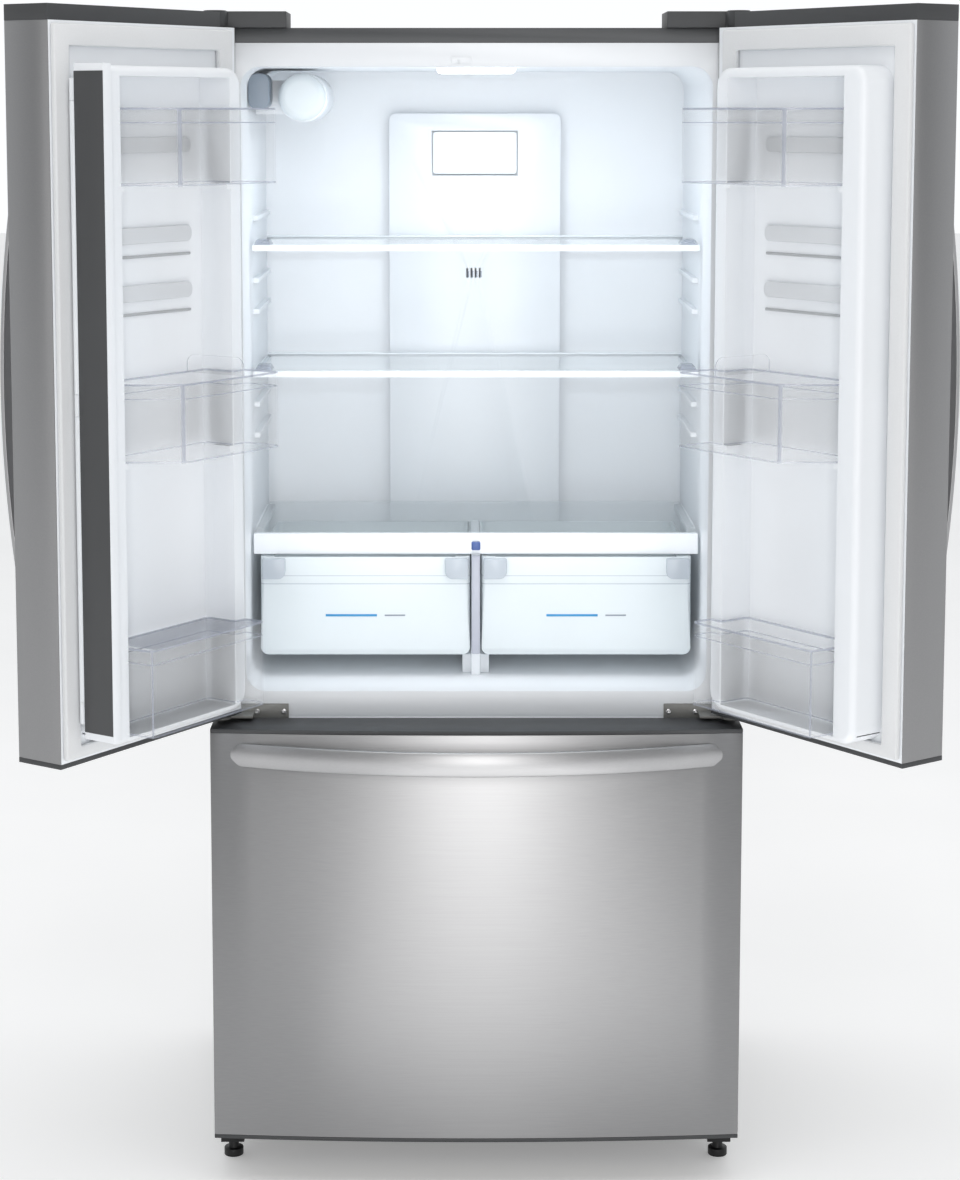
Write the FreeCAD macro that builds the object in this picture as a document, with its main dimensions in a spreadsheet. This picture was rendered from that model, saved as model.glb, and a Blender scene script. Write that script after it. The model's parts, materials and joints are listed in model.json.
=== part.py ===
"""French door refrigerator: two swinging upper doors over one pull-out freezer drawer.

Frame while modelling: X to the right, Y into the cabinet with 0 at its front face, Z up from the
floor, every door and drawer shut.  The doors are then turned to where they rest, and the whole
part is moved so that its origin is the centre of its footprint.  Millimetres.
"""
import FreeCAD, Part
import Sketcher
import os
import re

V = FreeCAD.Vector
doc = FreeCAD.newDocument("refrigerator")

# ---------------------------------------------------------------- driving dimensions
SIZES = {
    # cabinet
    "cabinet_width": 800, "cabinet_top": 1751, "cabinet_depth": 586, "cabinet_base": 50,
    "shell_wall": 2, "front_lip": 22, "liner_wall": 3, "pan_wall": 6, "fridge_corner": 30,
    "freezer_floor": 130, "machine_top": 270, "rail_depth": 30, "step_rise": 24,
    # shelves and wall ribs
    "shelf_front": 122, "shelf_glass": 4, "shelf_side_gap": 4, "shelf_trim_tall": 9,
    "shelf_trim_deep": 16, "rib_tall": 8, "rib_out": 9, "rib_front": 190, "rib_pitch": 49,
    # crispers
    "crisper_front": 95, "crisper_wall": 3, "divider_half": 7, "cover_trim_tall": 32,
    "cover_trim_deep": 14, "ledge_tall": 10,
    # upper doors
    "door_bottom": 724.7, "door_gap": 12, "hinge_in": 16.4, "hinge_back": 24, "door_thick": 79,
    "door_bow": 16, "skin_wall": 1.5, "corner_round": 8, "top_cap": 22, "bottom_cap": 7,
    "pin_radius": 5, "pin_clearance": 0.1, "bush_wall": 6, "bush_long": 20, "gasket_thick": 9,
    "gasket_wide": 30, "gasket_inset": 16, "gasket_edge": 4, "gasket_low": 12, "gasket_high": 26,
    "dyke_out": 56, "dyke_start": 38, "dyke_wide": 38, "dyke_narrow": 28, "dyke_foot": 8,
    "dyke_head": 14, "dyke_margin": 4, "left_open": 123.9, "right_open": 125.9,
    # door bins
    "bin_wall": 2.5, "bin_gap": 2, "bin_reach": 147, "bin_back": 6, "bin_start": 40,
    "bottom_bin_reach": 120, "lug_tall": 8, "lug_out": 8, "lug_deep": 30,
    # handles
    "grip_long": 740, "grip_out": 48, "grip_thick": 11, "grip_wide": 30, "grip_edge": 38,
    "pull_out": 52, "pull_tall": 36,
    # folding mullion
    "mullion_near": 47.7, "mullion_far": 99.5, "mullion_thick": 17, "fold_in": 39.8,
    "knuckle_radius": 4.5, "knuckle_pin": 2, "knuckle_tall": 30, "strip_thick": 1,
    "strip_inset": 10,
    # freezer drawer
    "drawer_bottom": 73.8, "drawer_bow": 16.6, "drawer_thick": 84.6, "drawer_cap": 6.3,
    "plug_out": 22, "basket_rim": 430, "basket_front": 26, "basket_wall": 3, "basket_lip": 9,
    "tray_rim": 540, "tray_back": 270, "slide_low": 300, "slide_tall": 36, "slide_thick": 6,
    # fittings
    "foot_radius": 15, "foot_back": 34, "foot_tall": 12, "stem_radius": 5, "roller_radius": 20,
    "roller_width": 18, "axle_radius": 4, "ear_thick": 4, "hinge_plate": 6, "hinge_reach": 78,
    "hinge_depth": 60, "arm_half": 13, "arm_plate": 4, "plate_thick": 3, "screw_radius": 4,
    "screw_head": 2, "duct_half": 142.6, "duct_thick": 30, "filter_half": 70, "filter_thick": 5,
    "lamp_half": 60, "lamp_front": 70, "lamp_deep": 36, "lamp_drop": 9, "bottle_radius": 38,
    "bottle_front": 122, "bottle_long": 200, "bottle_cap": 30, "compressor_radius": 62,
    "compressor_tall": 150, "fan_radius": 46, "fan_shaft": 4, "fin_thick": 1.5, "fin_pitch": 16,
    "tube_radius": 4,
    # slots, gland and small clearances
    "slot_in": 60, "slot_pitch": 86, "slot_rise": 34, "slot_long": 60, "slot_tall": 8,
    "gland_in": 30, "gland_drop": 16, "gland_radius": 10, "gland_bore": 4, "gland_long": 7,
    "nut_radius": 8, "nut_drop": 22, "stem_drop": 8, "rail_gap": 4, "hinge_front": 6,
    "hood_tall": 24, "hood_reach": 119, "hood_front": 9, "hood_long": 90, "hood_wall": 2,
    "plate_drop": 8, "plate_rise": 6, "arm_lap": 22, "collar_wall": 3, "collar_gap": 0.3,
    "screw_in": 7, "driver_half": 2.4, "driver_slot": 0.6, "roof_screw_near": 20,
    "roof_screw_far": 60, "shelf_back_gap": 6, "trim_lip": 2, "back_trim_deep": 14,
    "cover_setback": 10, "skirt_out": 14, "skirt_back": 30, "skirt_tall": 30, "drawer_slip": 2,
    "crisper_round": 12, "panel_thick": 16, "grip_in": 22, "grip_drop": 30, "crisper_clear": 5,
    "duct_foot": 20, "duct_round": 12, "duct_wall": 4, "duct_face": 12, "flap_gap": 1.5,
    "flap_recess": 8, "flap_proud": 2, "flap_rise": 1, "flap_round": 6, "vent_pitch": 7,
    "vent_wide": 3, "vent_tall": 16, "strap_sunk": 20,
}

# ---------------------------------------------------------------- sizes that follow from others
FITTED = {
    "fridge_half": "cabinet_width / 2 - 50",
    "freezer_half": "cabinet_width / 2 - 48",
    "fridge_ceiling": "cabinet_top - 57",
    "fridge_depth": "cabinet_depth - 116",
    "freezer_depth": "cabinet_depth - 86",
    "freezer_step_depth": "cabinet_depth - 186",
    "machine_front": "cabinet_depth - 166",
    "fridge_floor": "door_bottom + 25.3",
    "freezer_ceiling": "drawer_top - 39.3",
    "flange_split": "drawer_top - 0.3",
    "drawer_top": "door_bottom - 13.4",
    "shelf_back": "fridge_depth - 38",
    "cover_back": "fridge_depth - 40",
    "crisper_half": "fridge_half - 15",
    "crisper_floor": "fridge_floor + 36",
    "crisper_top": "fridge_floor + 190",
    "cover_top": "crisper_top + 35",
    "crisper_depth": "fridge_depth - duct_thick - crisper_clear - crisper_front",
    "lower_shelf_top": "fridge_floor + 475",
    "upper_shelf_top": "lower_shelf_top + 196",
    "door_width": "cabinet_width / 2 - 4",
    "door_top": "cabinet_top + 20.8",
    "dyke_end": "door_width - 58",
    "bin_end": "dyke_end - 91",
    "top_bin_rim": "fridge_ceiling - 61",
    "top_bin_floor": "top_bin_rim - 107",
    "middle_bin_floor": "lower_shelf_top - 79",
    "middle_bin_rim": "middle_bin_floor + 110",
    "bottom_bin_floor": "fridge_floor + 14",
    "bottom_bin_rim": "bottom_bin_floor + 124",
    "grip_mid": "(door_bottom + door_top) / 2 - 7.25",
    "pull_long": "2 * drawer_half - 100",
    "pull_mid": "drawer_top - 39.3",
    "mullion_face": "door_width - 40",
    "mullion_foot": "fridge_floor + 17",
    "mullion_head": "fridge_ceiling - 2",
    "fold_reach": "mullion_face - 6.3",
    "drawer_half": "cabinet_width / 2 - 1.5",
    "plug_half": "freezer_half - 15",
    "plug_floor": "freezer_floor + 20",
    "plug_top": "freezer_ceiling - 17",
    "basket_half": "freezer_half - 26",
    "basket_floor": "freezer_floor + 22",
    "basket_back": "freezer_step_depth - 15",
    "slide_long": "freezer_step_depth - 10",
    "foot_reach": "cabinet_width / 2 - 20",
    "roller_reach": "cabinet_width / 2 - 28",
    "roller_back": "cabinet_depth - 46",
    "arm_low": "flange_split + 5",
    "screw_level": "flange_split + 8",
    "plate_inner": "cabinet_width / 2 - 114",
    "plate_outer": "cabinet_width / 2 - 40",
    "duct_top": "fridge_ceiling - 69",
    "filter_high": "duct_top - 30",
    "filter_low": "filter_high - 71",
    "bottle_reach": "fridge_half - 82",
    "bottle_level": "fridge_ceiling - 44",
    "fan_level": "freezer_ceiling - 72",
    "vent_low": "upper_shelf_top - 69",
}

sheet = doc.addObject("Spreadsheet::Sheet", "Sizes")
for row, (word, size) in enumerate(SIZES.items(), start=1):
    sheet.set("A%d" % row, word)
    sheet.set("B%d" % row, str(size))
    sheet.setAlias("B%d" % row, word)
doc.recompute()


def bound(words):
    """An expression in sheet aliases, with fitted words spelled out, ready for setExpression."""
    def spelled(found):
        word = found.group(0)
        if word in FITTED:
            return "(" + bound(FITTED[word]) + ")"
        return "Sizes." + word if word in SIZES else word
    return re.sub(r"[a-z_]+", spelled, str(words))


PROBE_BASE = 10000
probe = doc.addObject("Part::Box", "probe")


def value(words):
    """What an expression comes to now, read back from a scratch length."""
    probe.setExpression("Length", bound("%d + (%s)" % (PROBE_BASE, words)))
    probe.recompute()
    return probe.Length.Value - PROBE_BASE


# places that several pieces share
HALF = "cabinet_width / 2"
AXIS_X = "(cabinet_width / 2 - hinge_in)"
AXIS_Y = "(0 - door_gap - hinge_back)"
SKIN_LOW = "door_bottom + bottom_cap"
SKIN_HIGH = "door_top - top_cap"
FREE_EDGE = "door_width - hinge_in"
DYKE_FACE = "hinge_back + dyke_out"
DYKE_LOW = "fridge_floor + dyke_margin"
DYKE_HIGH = "fridge_ceiling - dyke_margin"
LEFT = -1
RIGHT = 1
SIDES = {"left": LEFT, "right": RIGHT}
SLOT_COLUMNS = 8
SLOT_ROWS = 4
VENT_COLUMNS = 4


# ---------------------------------------------------------------- PartDesign vocabulary
def body(label):
    """An empty PartDesign body for one sub-part."""
    piece = doc.addObject("PartDesign::Body", label)
    piece.Label = label
    piece.AllowCompound = True
    return piece


def block(piece, x, y, z, cut=False):
    """Add or cut a box; x, y and z are (low, high) pairs of expressions."""
    kind = "PartDesign::SubtractiveBox" if cut else "PartDesign::AdditiveBox"
    feature = piece.newObject(kind, piece.Label + "_block")
    tie_box(feature, x, y, z)
    return feature


def tie_box(feature, x, y, z):
    """Bind a box's size and corner to three pairs of expressions."""
    for prop, axis, (low, high) in (("Length", "x", x), ("Width", "y", y), ("Height", "z", z)):
        feature.setExpression(prop, bound("(%s) - (%s)" % (high, low)))
        feature.setExpression("Placement.Base." + axis, bound(low))


def tie_rod(feature, along, start, radius, length):
    """Bind a round bar that runs in the positive direction of one axis."""
    turns = {"X": FreeCAD.Rotation(V(0, 1, 0), 90), "Y": FreeCAD.Rotation(V(1, 0, 0), -90),
             "Z": FreeCAD.Rotation()}
    feature.Placement = FreeCAD.Placement(V(0, 0, 0), turns[along])
    feature.setExpression("Radius", bound(radius))
    feature.setExpression("Height", bound(length))
    for axis, words in zip("xyz", start):
        feature.setExpression("Placement.Base." + axis, bound(words))


def rod(piece, along, start, radius, length, cut=False):
    """Add or cut a round bar in a body."""
    kind = "PartDesign::SubtractiveCylinder" if cut else "PartDesign::AdditiveCylinder"
    feature = piece.newObject(kind, piece.Label + "_rod")
    tie_rod(feature, along, start, radius, length)
    return feature


def rounded(piece, radius, chosen):
    """Fillet the straight edges that chosen(middle, direction) picks on the newest shape."""
    doc.recompute()
    base = piece.Tip
    names = []
    for number, edge in enumerate(base.Shape.Edges, start=1):
        middle = edge.valueAt((edge.FirstParameter + edge.LastParameter) / 2)
        run = edge.Vertexes[-1].Point - edge.Vertexes[0].Point
        direction = "XYZ"[[abs(run.x), abs(run.y), abs(run.z)].index(max(map(abs, run)))]
        if edge.Curve.TypeId == "Part::GeomLine" and chosen(middle, direction):
            names.append("Edge%d" % number)
    feature = piece.newObject("PartDesign::Fillet", piece.Label + "_round")
    feature.Base = (base, names)
    feature.setExpression("Radius", bound(radius))
    piece.Tip = feature
    return feature


def outline(piece, corners, low, high, cut=False):
    """Pad or pocket a polygon drawn in the XY plane, its corners tied to expressions."""
    sketch = piece.newObject("Sketcher::SketchObject", piece.Label + "_outline")
    plane = [item for item in piece.Origin.OriginFeatures if item.Role == "XY_Plane"][0]
    sketch.AttachmentSupport = (plane, "")
    sketch.MapMode = "FlatFace"
    points = [V(value(x), value(y), 0) for x, y in corners]
    count = len(points)
    for index in range(count):
        sketch.addGeometry(Part.LineSegment(points[index], points[(index + 1) % count]))
    for index in range(count):
        sketch.addConstraint(Sketcher.Constraint("Coincident", index, 2, (index + 1) % count, 1))
    for index, (x, y) in enumerate(corners):
        for kind, words, number in (("DistanceX", x, points[index].x),
                                    ("DistanceY", y, points[index].y)):
            at = sketch.addConstraint(Sketcher.Constraint(kind, -1, 1, index, 1, number))
            sketch.setExpression("Constraints[%d]" % at, bound(words))
    sketch.setExpression("AttachmentOffset.Base.z", bound(low))
    kind = "PartDesign::Pocket" if cut else "PartDesign::Pad"
    feature = piece.newObject(kind, piece.Label + "_prism")
    feature.Profile = sketch
    feature.setExpression("Length", bound("(%s) - (%s)" % (high, low)))
    feature.Reversed = cut
    return feature


# ---------------------------------------------------------------- Part vocabulary
def box(name, x, y, z):
    """A Part box between three pairs of expressions."""
    feature = doc.addObject("Part::Box", name)
    tie_box(feature, x, y, z)
    return feature


def bar(name, along, start, radius, length):
    """A Part cylinder that runs in the positive direction of one axis."""
    feature = doc.addObject("Part::Cylinder", name)
    tie_rod(feature, along, start, radius, length)
    return feature


def less(name, base, tool):
    """base with tool cut away."""
    feature = doc.addObject("Part::Cut", name)
    feature.Base = base
    feature.Tool = tool
    return feature


def shared(name, first, second):
    """What two solids have in common."""
    feature = doc.addObject("Part::Common", name)
    feature.Base = first
    feature.Tool = second
    return feature


def joined(name, pieces):
    """Several solids as one."""
    feature = doc.addObject("Part::MultiFuse", name)
    feature.Shapes = pieces
    return feature


def bowed_slab(name, x, low, high, front, bow, inset="0"):
    """A slab behind a front face bowed across the cabinet's whole width, walls moved in by inset."""
    swell = "((cabinet_width * cabinet_width / 4 + %s * %s) / (2 * %s))" % (bow, bow, bow)
    plan = box(name + "_plan", (x[0] + " + " + inset, x[1] + " - " + inset),
               ("0 - (%s) - 1" % front, "0 - door_gap"), (low, high))
    drum = bar(name + "_drum", "Z", ("0", "0 - (%s) + %s" % (front, swell), low),
               "%s - (%s)" % (swell, inset), "(%s) - (%s)" % (high, low))
    return shared(name, plan, drum)


def softened(name, base, radius, chosen):
    """Part fillet of the upright edges whose middle chosen() picks."""
    doc.recompute()
    picked = []
    for number, edge in enumerate(base.Shape.Edges, start=1):
        middle = edge.valueAt((edge.FirstParameter + edge.LastParameter) / 2)
        run = edge.Vertexes[-1].Point - edge.Vertexes[0].Point
        if abs(run.z) > abs(run.x) + abs(run.y) and chosen(middle):
            picked.append((number, value(radius), value(radius)))
    feature = doc.addObject("Part::Fillet", name)
    feature.Base = base
    feature.Edges = picked
    return feature


def mirrored_pair(low, high):
    """The X range of a piece on the right and its mirror on the left."""
    return {RIGHT: (low, high), LEFT: ("0 - (%s)" % high, "0 - (%s)" % low)}


def reach(side, near, far):
    """X range of a stretch measured from a door's hinge axis towards its free edge."""
    return mirrored_pair("%s - (%s)" % (AXIS_X, far), "%s - (%s)" % (AXIS_X, near))[side]


def inward(near, far):
    """Y range of a stretch measured from a door's hinge axis into the cabinet."""
    return ("%s + (%s)" % (AXIS_Y, near), "%s + (%s)" % (AXIS_Y, far))


def across(side, distance):
    """X of a point at a distance from a door's hinge axis."""
    return "%d * (%s - (%s))" % (side, AXIS_X, distance)


# ---------------------------------------------------------------- cabinet
ALL_X = ("0 - " + HALF, HALF)
INNER_X = ("0 - " + HALF + " + shell_wall", HALF + " - shell_wall")


def cabinet_shell():
    """Wrap of sheet steel: sides, top and the lip turned in round the front."""
    piece = body("cabinet_shell")
    block(piece, ALL_X, ("0", "cabinet_depth"), ("cabinet_base", "cabinet_top"))
    block(piece, INNER_X, ("shell_wall", "cabinet_depth + 1"),
          ("cabinet_base - 1", "cabinet_top - shell_wall"), cut=True)
    block(piece, ("0 - %s + front_lip" % HALF, "%s - front_lip" % HALF), ("-1", "shell_wall + 1"),
          ("cabinet_base - 1", "cabinet_top - front_lip"), cut=True)


def cabinet_back():
    """Flat rear panel above the machine compartment."""
    piece = body("cabinet_back")
    block(piece, INNER_X, ("cabinet_depth - shell_wall", "cabinet_depth"),
          ("machine_top", "cabinet_top - shell_wall"))


def base_frame():
    """Floor pan with the brackets that take the levelling feet and the rear rollers."""
    piece = body("base_frame")
    block(piece, INNER_X, ("shell_wall", "cabinet_depth - shell_wall"),
          ("cabinet_base", "cabinet_base + pan_wall"))
    for side in (LEFT, RIGHT):
        block(piece, mirrored_pair("foot_reach - 18", "foot_reach + 18")[side],
              ("foot_back - 22", "foot_back + 22"), ("cabinet_base - 22", "cabinet_base"))
        rod(piece, "Z", ("%d * foot_reach" % side, "foot_back", "cabinet_base - 23"),
            "stem_radius + pin_clearance", "20", cut=True)
        for near, far in (("0 - roller_width / 2 - 1 - ear_thick", "0 - roller_width / 2 - 1"),
                          ("roller_width / 2 + 1", "roller_width / 2 + 1 + ear_thick")):
            block(piece, ("%d * roller_reach + %s" % (side, near),
                          "%d * roller_reach + %s" % (side, far)),
                  ("roller_back - 12", "roller_back + 12"),
                  ("roller_radius - 8", "cabinet_base"))
        rod(piece, "X", ("%d * roller_reach - roller_width / 2 - 2" % side, "roller_back",
                         "roller_radius"), "axle_radius", "roller_width + 4")


def levelling_feet():
    """Two front feet: a round pad under a threaded stem."""
    piece = body("levelling_feet")
    for side in (LEFT, RIGHT):
        place = ("%d * foot_reach" % side, "foot_back")
        rod(piece, "Z", place + ("0",), "foot_radius", "foot_tall")
        rod(piece, "Z", place + ("foot_tall",), "nut_radius", "cabinet_base - nut_drop - foot_tall")
        rod(piece, "Z", place + ("foot_tall",), "stem_radius", "cabinet_base - stem_drop - foot_tall")


def rear_rollers():
    """Two plain rollers under the back."""
    piece = body("rear_rollers")
    for side in (LEFT, RIGHT):
        start = ("%d * roller_reach - roller_width / 2" % side, "roller_back", "roller_radius")
        rod(piece, "X", start, "roller_radius", "roller_width")
        rod(piece, "X", start, "axle_radius + pin_clearance", "roller_width", cut=True)


def tub(label, half, low, high, depth, corner, flange_low, flange_high):
    """A moulded liner: a flange behind the front lip and an open tub with round corners."""
    piece = body(label)
    inner = {"x": ("0 - " + half, half), "z": (low, high)}
    outer = {"x": ("0 - %s - liner_wall" % half, half + " + liner_wall"),
             "z": (low + " - liner_wall", high + " + liner_wall")}
    lengthwise = (lambda middle, direction: direction == "Y")
    block(piece, outer["x"], ("0", depth + " + liner_wall"), outer["z"])
    rounded(piece, corner + " + liner_wall", lengthwise)
    block(piece, ("0 - %s + front_lip" % HALF, "%s - front_lip" % HALF), ("0", "liner_wall"),
          (flange_low, flange_high))
    hollow = body(label + "_hollow")
    block(hollow, inner["x"], ("-1", depth), inner["z"])
    rounded(hollow, corner, lengthwise)
    return piece, hollow


def fridge_liner():
    """White liner of the fresh food compartment, ribbed where the shelves slide in."""
    piece, hollow = tub("fridge_tub", "fridge_half", "fridge_floor", "fridge_ceiling",
                        "fridge_depth", "fridge_corner", "flange_split",
                        "cabinet_top - front_lip")
    opened = less("fridge_open", piece, hollow)
    ribs = []
    levels = ["%s - %d * rib_pitch" % (shelf, step) for shelf in
              ("(upper_shelf_top - shelf_glass)", "(lower_shelf_top - shelf_glass)")
              for step in (0, 1, 2)]
    levels.append("(upper_shelf_top - shelf_glass) + rib_pitch")
    for side in (LEFT, RIGHT):
        for number, level in enumerate(levels):
            ribs.append(box("rib_%d_%d" % (side + 1, number),
                            mirrored_pair("fridge_half - rib_out", "fridge_half")[side],
                            ("rib_front", "shelf_back"), (level + " - rib_tall", level)))
        ribs.append(box("ledge_%d" % (side + 1),
                        mirrored_pair("crisper_half + 1", "fridge_half")[side],
                        ("rib_front", "cover_back"),
                        ("cover_top - shelf_glass - ledge_tall", "cover_top - shelf_glass")))
    return joined("fridge_liner", [opened] + ribs)


def freezer_liner():
    """White liner of the freezer, stepped over the machine compartment."""
    piece, hollow = tub("freezer_tub", "freezer_half", "freezer_floor", "freezer_ceiling",
                        "freezer_step_depth", "fridge_corner", "cabinet_base + front_lip",
                        "flange_split")
    deep_x = ("0 - freezer_half - liner_wall", "freezer_half + liner_wall")
    outer = box("freezer_deep", deep_x, ("freezer_step_depth / 2", "freezer_depth + liner_wall"),
                ("machine_top + step_rise", "freezer_ceiling - fridge_corner"))
    inner = box("freezer_deep_hollow", ("0 - freezer_half", "freezer_half"),
                ("freezer_step_depth / 2 - 1", "freezer_depth"),
                ("machine_top + step_rise + liner_wall",
                 "freezer_ceiling - fridge_corner - liner_wall"))
    whole = joined("freezer_outer", [piece, outer])
    room = joined("freezer_room", [hollow, inner])
    return less("freezer_liner", whole, room)


def insulation_foam():
    """Foam between the shell and the two liners."""
    filled = box("foam_block", INNER_X, ("liner_wall", "cabinet_depth - shell_wall"),
                 ("cabinet_base + pan_wall", "cabinet_top - shell_wall"))
    spaces = [
        box("foam_fridge", ("0 - fridge_half - liner_wall", "fridge_half + liner_wall"),
            ("0", "fridge_depth + liner_wall"),
            ("fridge_floor - liner_wall", "fridge_ceiling + liner_wall")),
        box("foam_freezer", ("0 - freezer_half - liner_wall", "freezer_half + liner_wall"),
            ("0", "freezer_step_depth + liner_wall"),
            ("freezer_floor - liner_wall", "freezer_ceiling + liner_wall")),
        box("foam_freezer_deep", ("0 - freezer_half - liner_wall", "freezer_half + liner_wall"),
            ("0", "freezer_depth + liner_wall"),
            ("machine_top + step_rise", "freezer_ceiling - fridge_corner")),
        box("foam_machine", INNER_X, ("machine_front", "cabinet_depth"),
            ("cabinet_base", "machine_top")),
        box("foam_rail", INNER_X, ("0", "liner_wall + rail_depth"),
            ("freezer_ceiling + liner_wall", "fridge_floor - liner_wall"))]
    return less("insulation_foam", filled, joined("foam_spaces", spaces))


def centre_rail():
    """Folded steel rail between the two compartments, behind the liner flanges."""
    piece = body("centre_rail")
    block(piece, INNER_X, ("liner_wall", "liner_wall + rail_depth"),
          ("freezer_ceiling + liner_wall + rail_gap", "fridge_floor - liner_wall - rail_gap"))
    block(piece, INNER_X, ("liner_wall + shell_wall", "liner_wall + rail_depth + 1"),
          ("freezer_ceiling + liner_wall + rail_gap + shell_wall",
           "fridge_floor - liner_wall - rail_gap - shell_wall"), cut=True)


def machine_cover():
    """Slotted cover over the machine compartment at the back."""
    piece = body("machine_cover")
    block(piece, INNER_X, ("cabinet_depth - shell_wall", "cabinet_depth"),
          ("cabinet_base + pan_wall", "machine_top"))
    for column in range(SLOT_COLUMNS):
        left = "0 - %s + slot_in + %d * slot_pitch" % (HALF, column)
        for line in range(SLOT_ROWS):
            low = "cabinet_base + slot_in + %d * slot_rise" % line
            block(piece, (left, left + " + slot_long"), ("cabinet_depth - shell_wall - 1",
                  "cabinet_depth + 1"), (low, low + " + slot_tall"), cut=True)


def cord_gland():
    """Gland where the supply lead enters, low on the machine cover."""
    piece = body("cord_gland")
    start = (HALF + " - gland_in", "cabinet_depth", "machine_top - gland_drop")
    rod(piece, "Y", start, "gland_radius", "gland_long")
    rod(piece, "Y", start, "gland_bore", "gland_long", cut=True)


# ---------------------------------------------------------------- hinges
def top_hinges():
    """Flat plates on the cabinet roof whose pins drop into the doors' top bushes."""
    piece = body("top_hinges")
    low, high = "cabinet_top", "cabinet_top + hinge_plate"
    for side in (LEFT, RIGHT):
        block(piece, mirrored_pair(AXIS_X + " - hinge_reach", AXIS_X + " + arm_half")[side],
              ("hinge_front", "hinge_depth"), (low, high))
        block(piece, mirrored_pair(AXIS_X + " - arm_half", AXIS_X + " + arm_half")[side],
              (AXIS_Y, "hinge_front"), (low, high))
        rod(piece, "Z", ("%d * %s" % (side, AXIS_X), AXIS_Y, low), "arm_half", "hinge_plate")
        rod(piece, "Z", ("%d * %s" % (side, AXIS_X), AXIS_Y, low + " - bush_long"), "pin_radius",
            "bush_long")


def hinge_covers():
    """Moulded covers over the top hinges, rounded round the pin."""
    piece = body("hinge_covers")
    top = "cabinet_top + hood_tall"
    for side in (LEFT, RIGHT):
        block(piece, mirrored_pair(HALF + " - hood_reach", HALF)[side], ("0 - hood_front", "hood_long"),
              ("cabinet_top", top))
        block(piece, mirrored_pair(HALF + " - 2 * hinge_in", HALF)[side], (AXIS_Y, "0"),
              ("cabinet_top", top))
        rod(piece, "Z", ("%d * %s" % (side, AXIS_X), AXIS_Y, "cabinet_top"), "hinge_in",
            "hood_tall")
        wall = "hood_wall"
        high = top + " - " + wall
        block(piece, mirrored_pair(HALF + " - hood_reach + " + wall, HALF + " - " + wall)[side],
              ("0 - hood_front + " + wall, "hood_long - " + wall), ("cabinet_top - 1", high), cut=True)
        block(piece, mirrored_pair(HALF + " - 2 * hinge_in + " + wall, HALF + " - " + wall)[side],
              (AXIS_Y, "1"), ("cabinet_top - 1", high), cut=True)
        rod(piece, "Z", ("%d * %s" % (side, AXIS_X), AXIS_Y, "cabinet_top - 1"),
            "hinge_in - " + wall, "hood_tall + 1 - " + wall, cut=True)


def middle_hinges():
    """Angle brackets screwed to the flange, each with an arm and a pin under its door."""
    piece = body("middle_hinges")
    for side in (LEFT, RIGHT):
        block(piece, mirrored_pair("plate_inner", "plate_outer")[side], ("0 - plate_thick", "0"),
              ("arm_low - plate_drop", "door_bottom + plate_rise"))
        block(piece, mirrored_pair("plate_outer - arm_lap", AXIS_X + " + arm_half")[side],
              (AXIS_Y, "0"), ("arm_low", "arm_low + arm_plate"))
        rod(piece, "Z", ("%d * %s" % (side, AXIS_X), AXIS_Y, "arm_low"), "arm_half", "arm_plate")
        rod(piece, "Z", ("%d * %s" % (side, AXIS_X), AXIS_Y, "arm_low"), "pin_radius + collar_wall",
            "door_bottom - arm_low - collar_gap")
        rod(piece, "Z", ("%d * %s" % (side, AXIS_X), AXIS_Y, "arm_low"), "pin_radius",
            "door_bottom - arm_low + bush_long")


def hinge_screws():
    """Pan head screws: two on each middle hinge, two on each top hinge."""
    piece = body("hinge_screws")
    for side in (LEFT, RIGHT):
        for place in ("plate_inner + screw_in", "plate_outer - arm_lap - screw_radius"):
            start = ("%d * (%s)" % (side, place), "0 - plate_thick - screw_head", "screw_level")
            rod(piece, "Y", start, "screw_radius", "screw_head")
            block(piece, ("%s - driver_half" % start[0], "%s + driver_half" % start[0]),
                  ("0 - plate_thick - screw_head - 1", "0 - plate_thick - screw_head / 2"),
                  ("screw_level - driver_slot", "screw_level + driver_slot"), cut=True)
        for place in ("roof_screw_near", "roof_screw_far"):
            rod(piece, "Z", ("%d * (%s - %s)" % (side, AXIS_X, place), "(hinge_front + hinge_depth) / 2",
                             "cabinet_top + hinge_plate"), "screw_radius", "screw_head")


# ---------------------------------------------------------------- fresh food fittings
def shelf_glasses():
    """Two tempered glass shelves."""
    piece = body("shelf_glasses")
    for top in ("upper_shelf_top", "lower_shelf_top"):
        block(piece, ("0 - fridge_half + shelf_side_gap", "fridge_half - shelf_side_gap"),
              ("shelf_front + shelf_trim_deep / 2", "shelf_back - shelf_back_gap"),
              (top + " - shelf_glass", top))


def shelf_trims():
    """White front and rear trims of the shelves, slotted over the glass."""
    piece = body("shelf_trims")
    wide = ("0 - fridge_half + shelf_side_gap", "fridge_half - shelf_side_gap")
    for top in ("upper_shelf_top", "lower_shelf_top"):
        block(piece, wide, ("shelf_front", "shelf_front + shelf_trim_deep"),
              (top + " - shelf_trim_tall + trim_lip", top + " + trim_lip"))
        block(piece, wide, ("shelf_back - back_trim_deep", "shelf_back"),
              (top + " - shelf_glass", top + " + trim_lip"))
        block(piece, ("0 - fridge_half", "fridge_half"),
              ("shelf_front + shelf_trim_deep / 2", "shelf_back - shelf_back_gap"),
              (top + " - shelf_glass", top), cut=True)


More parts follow.
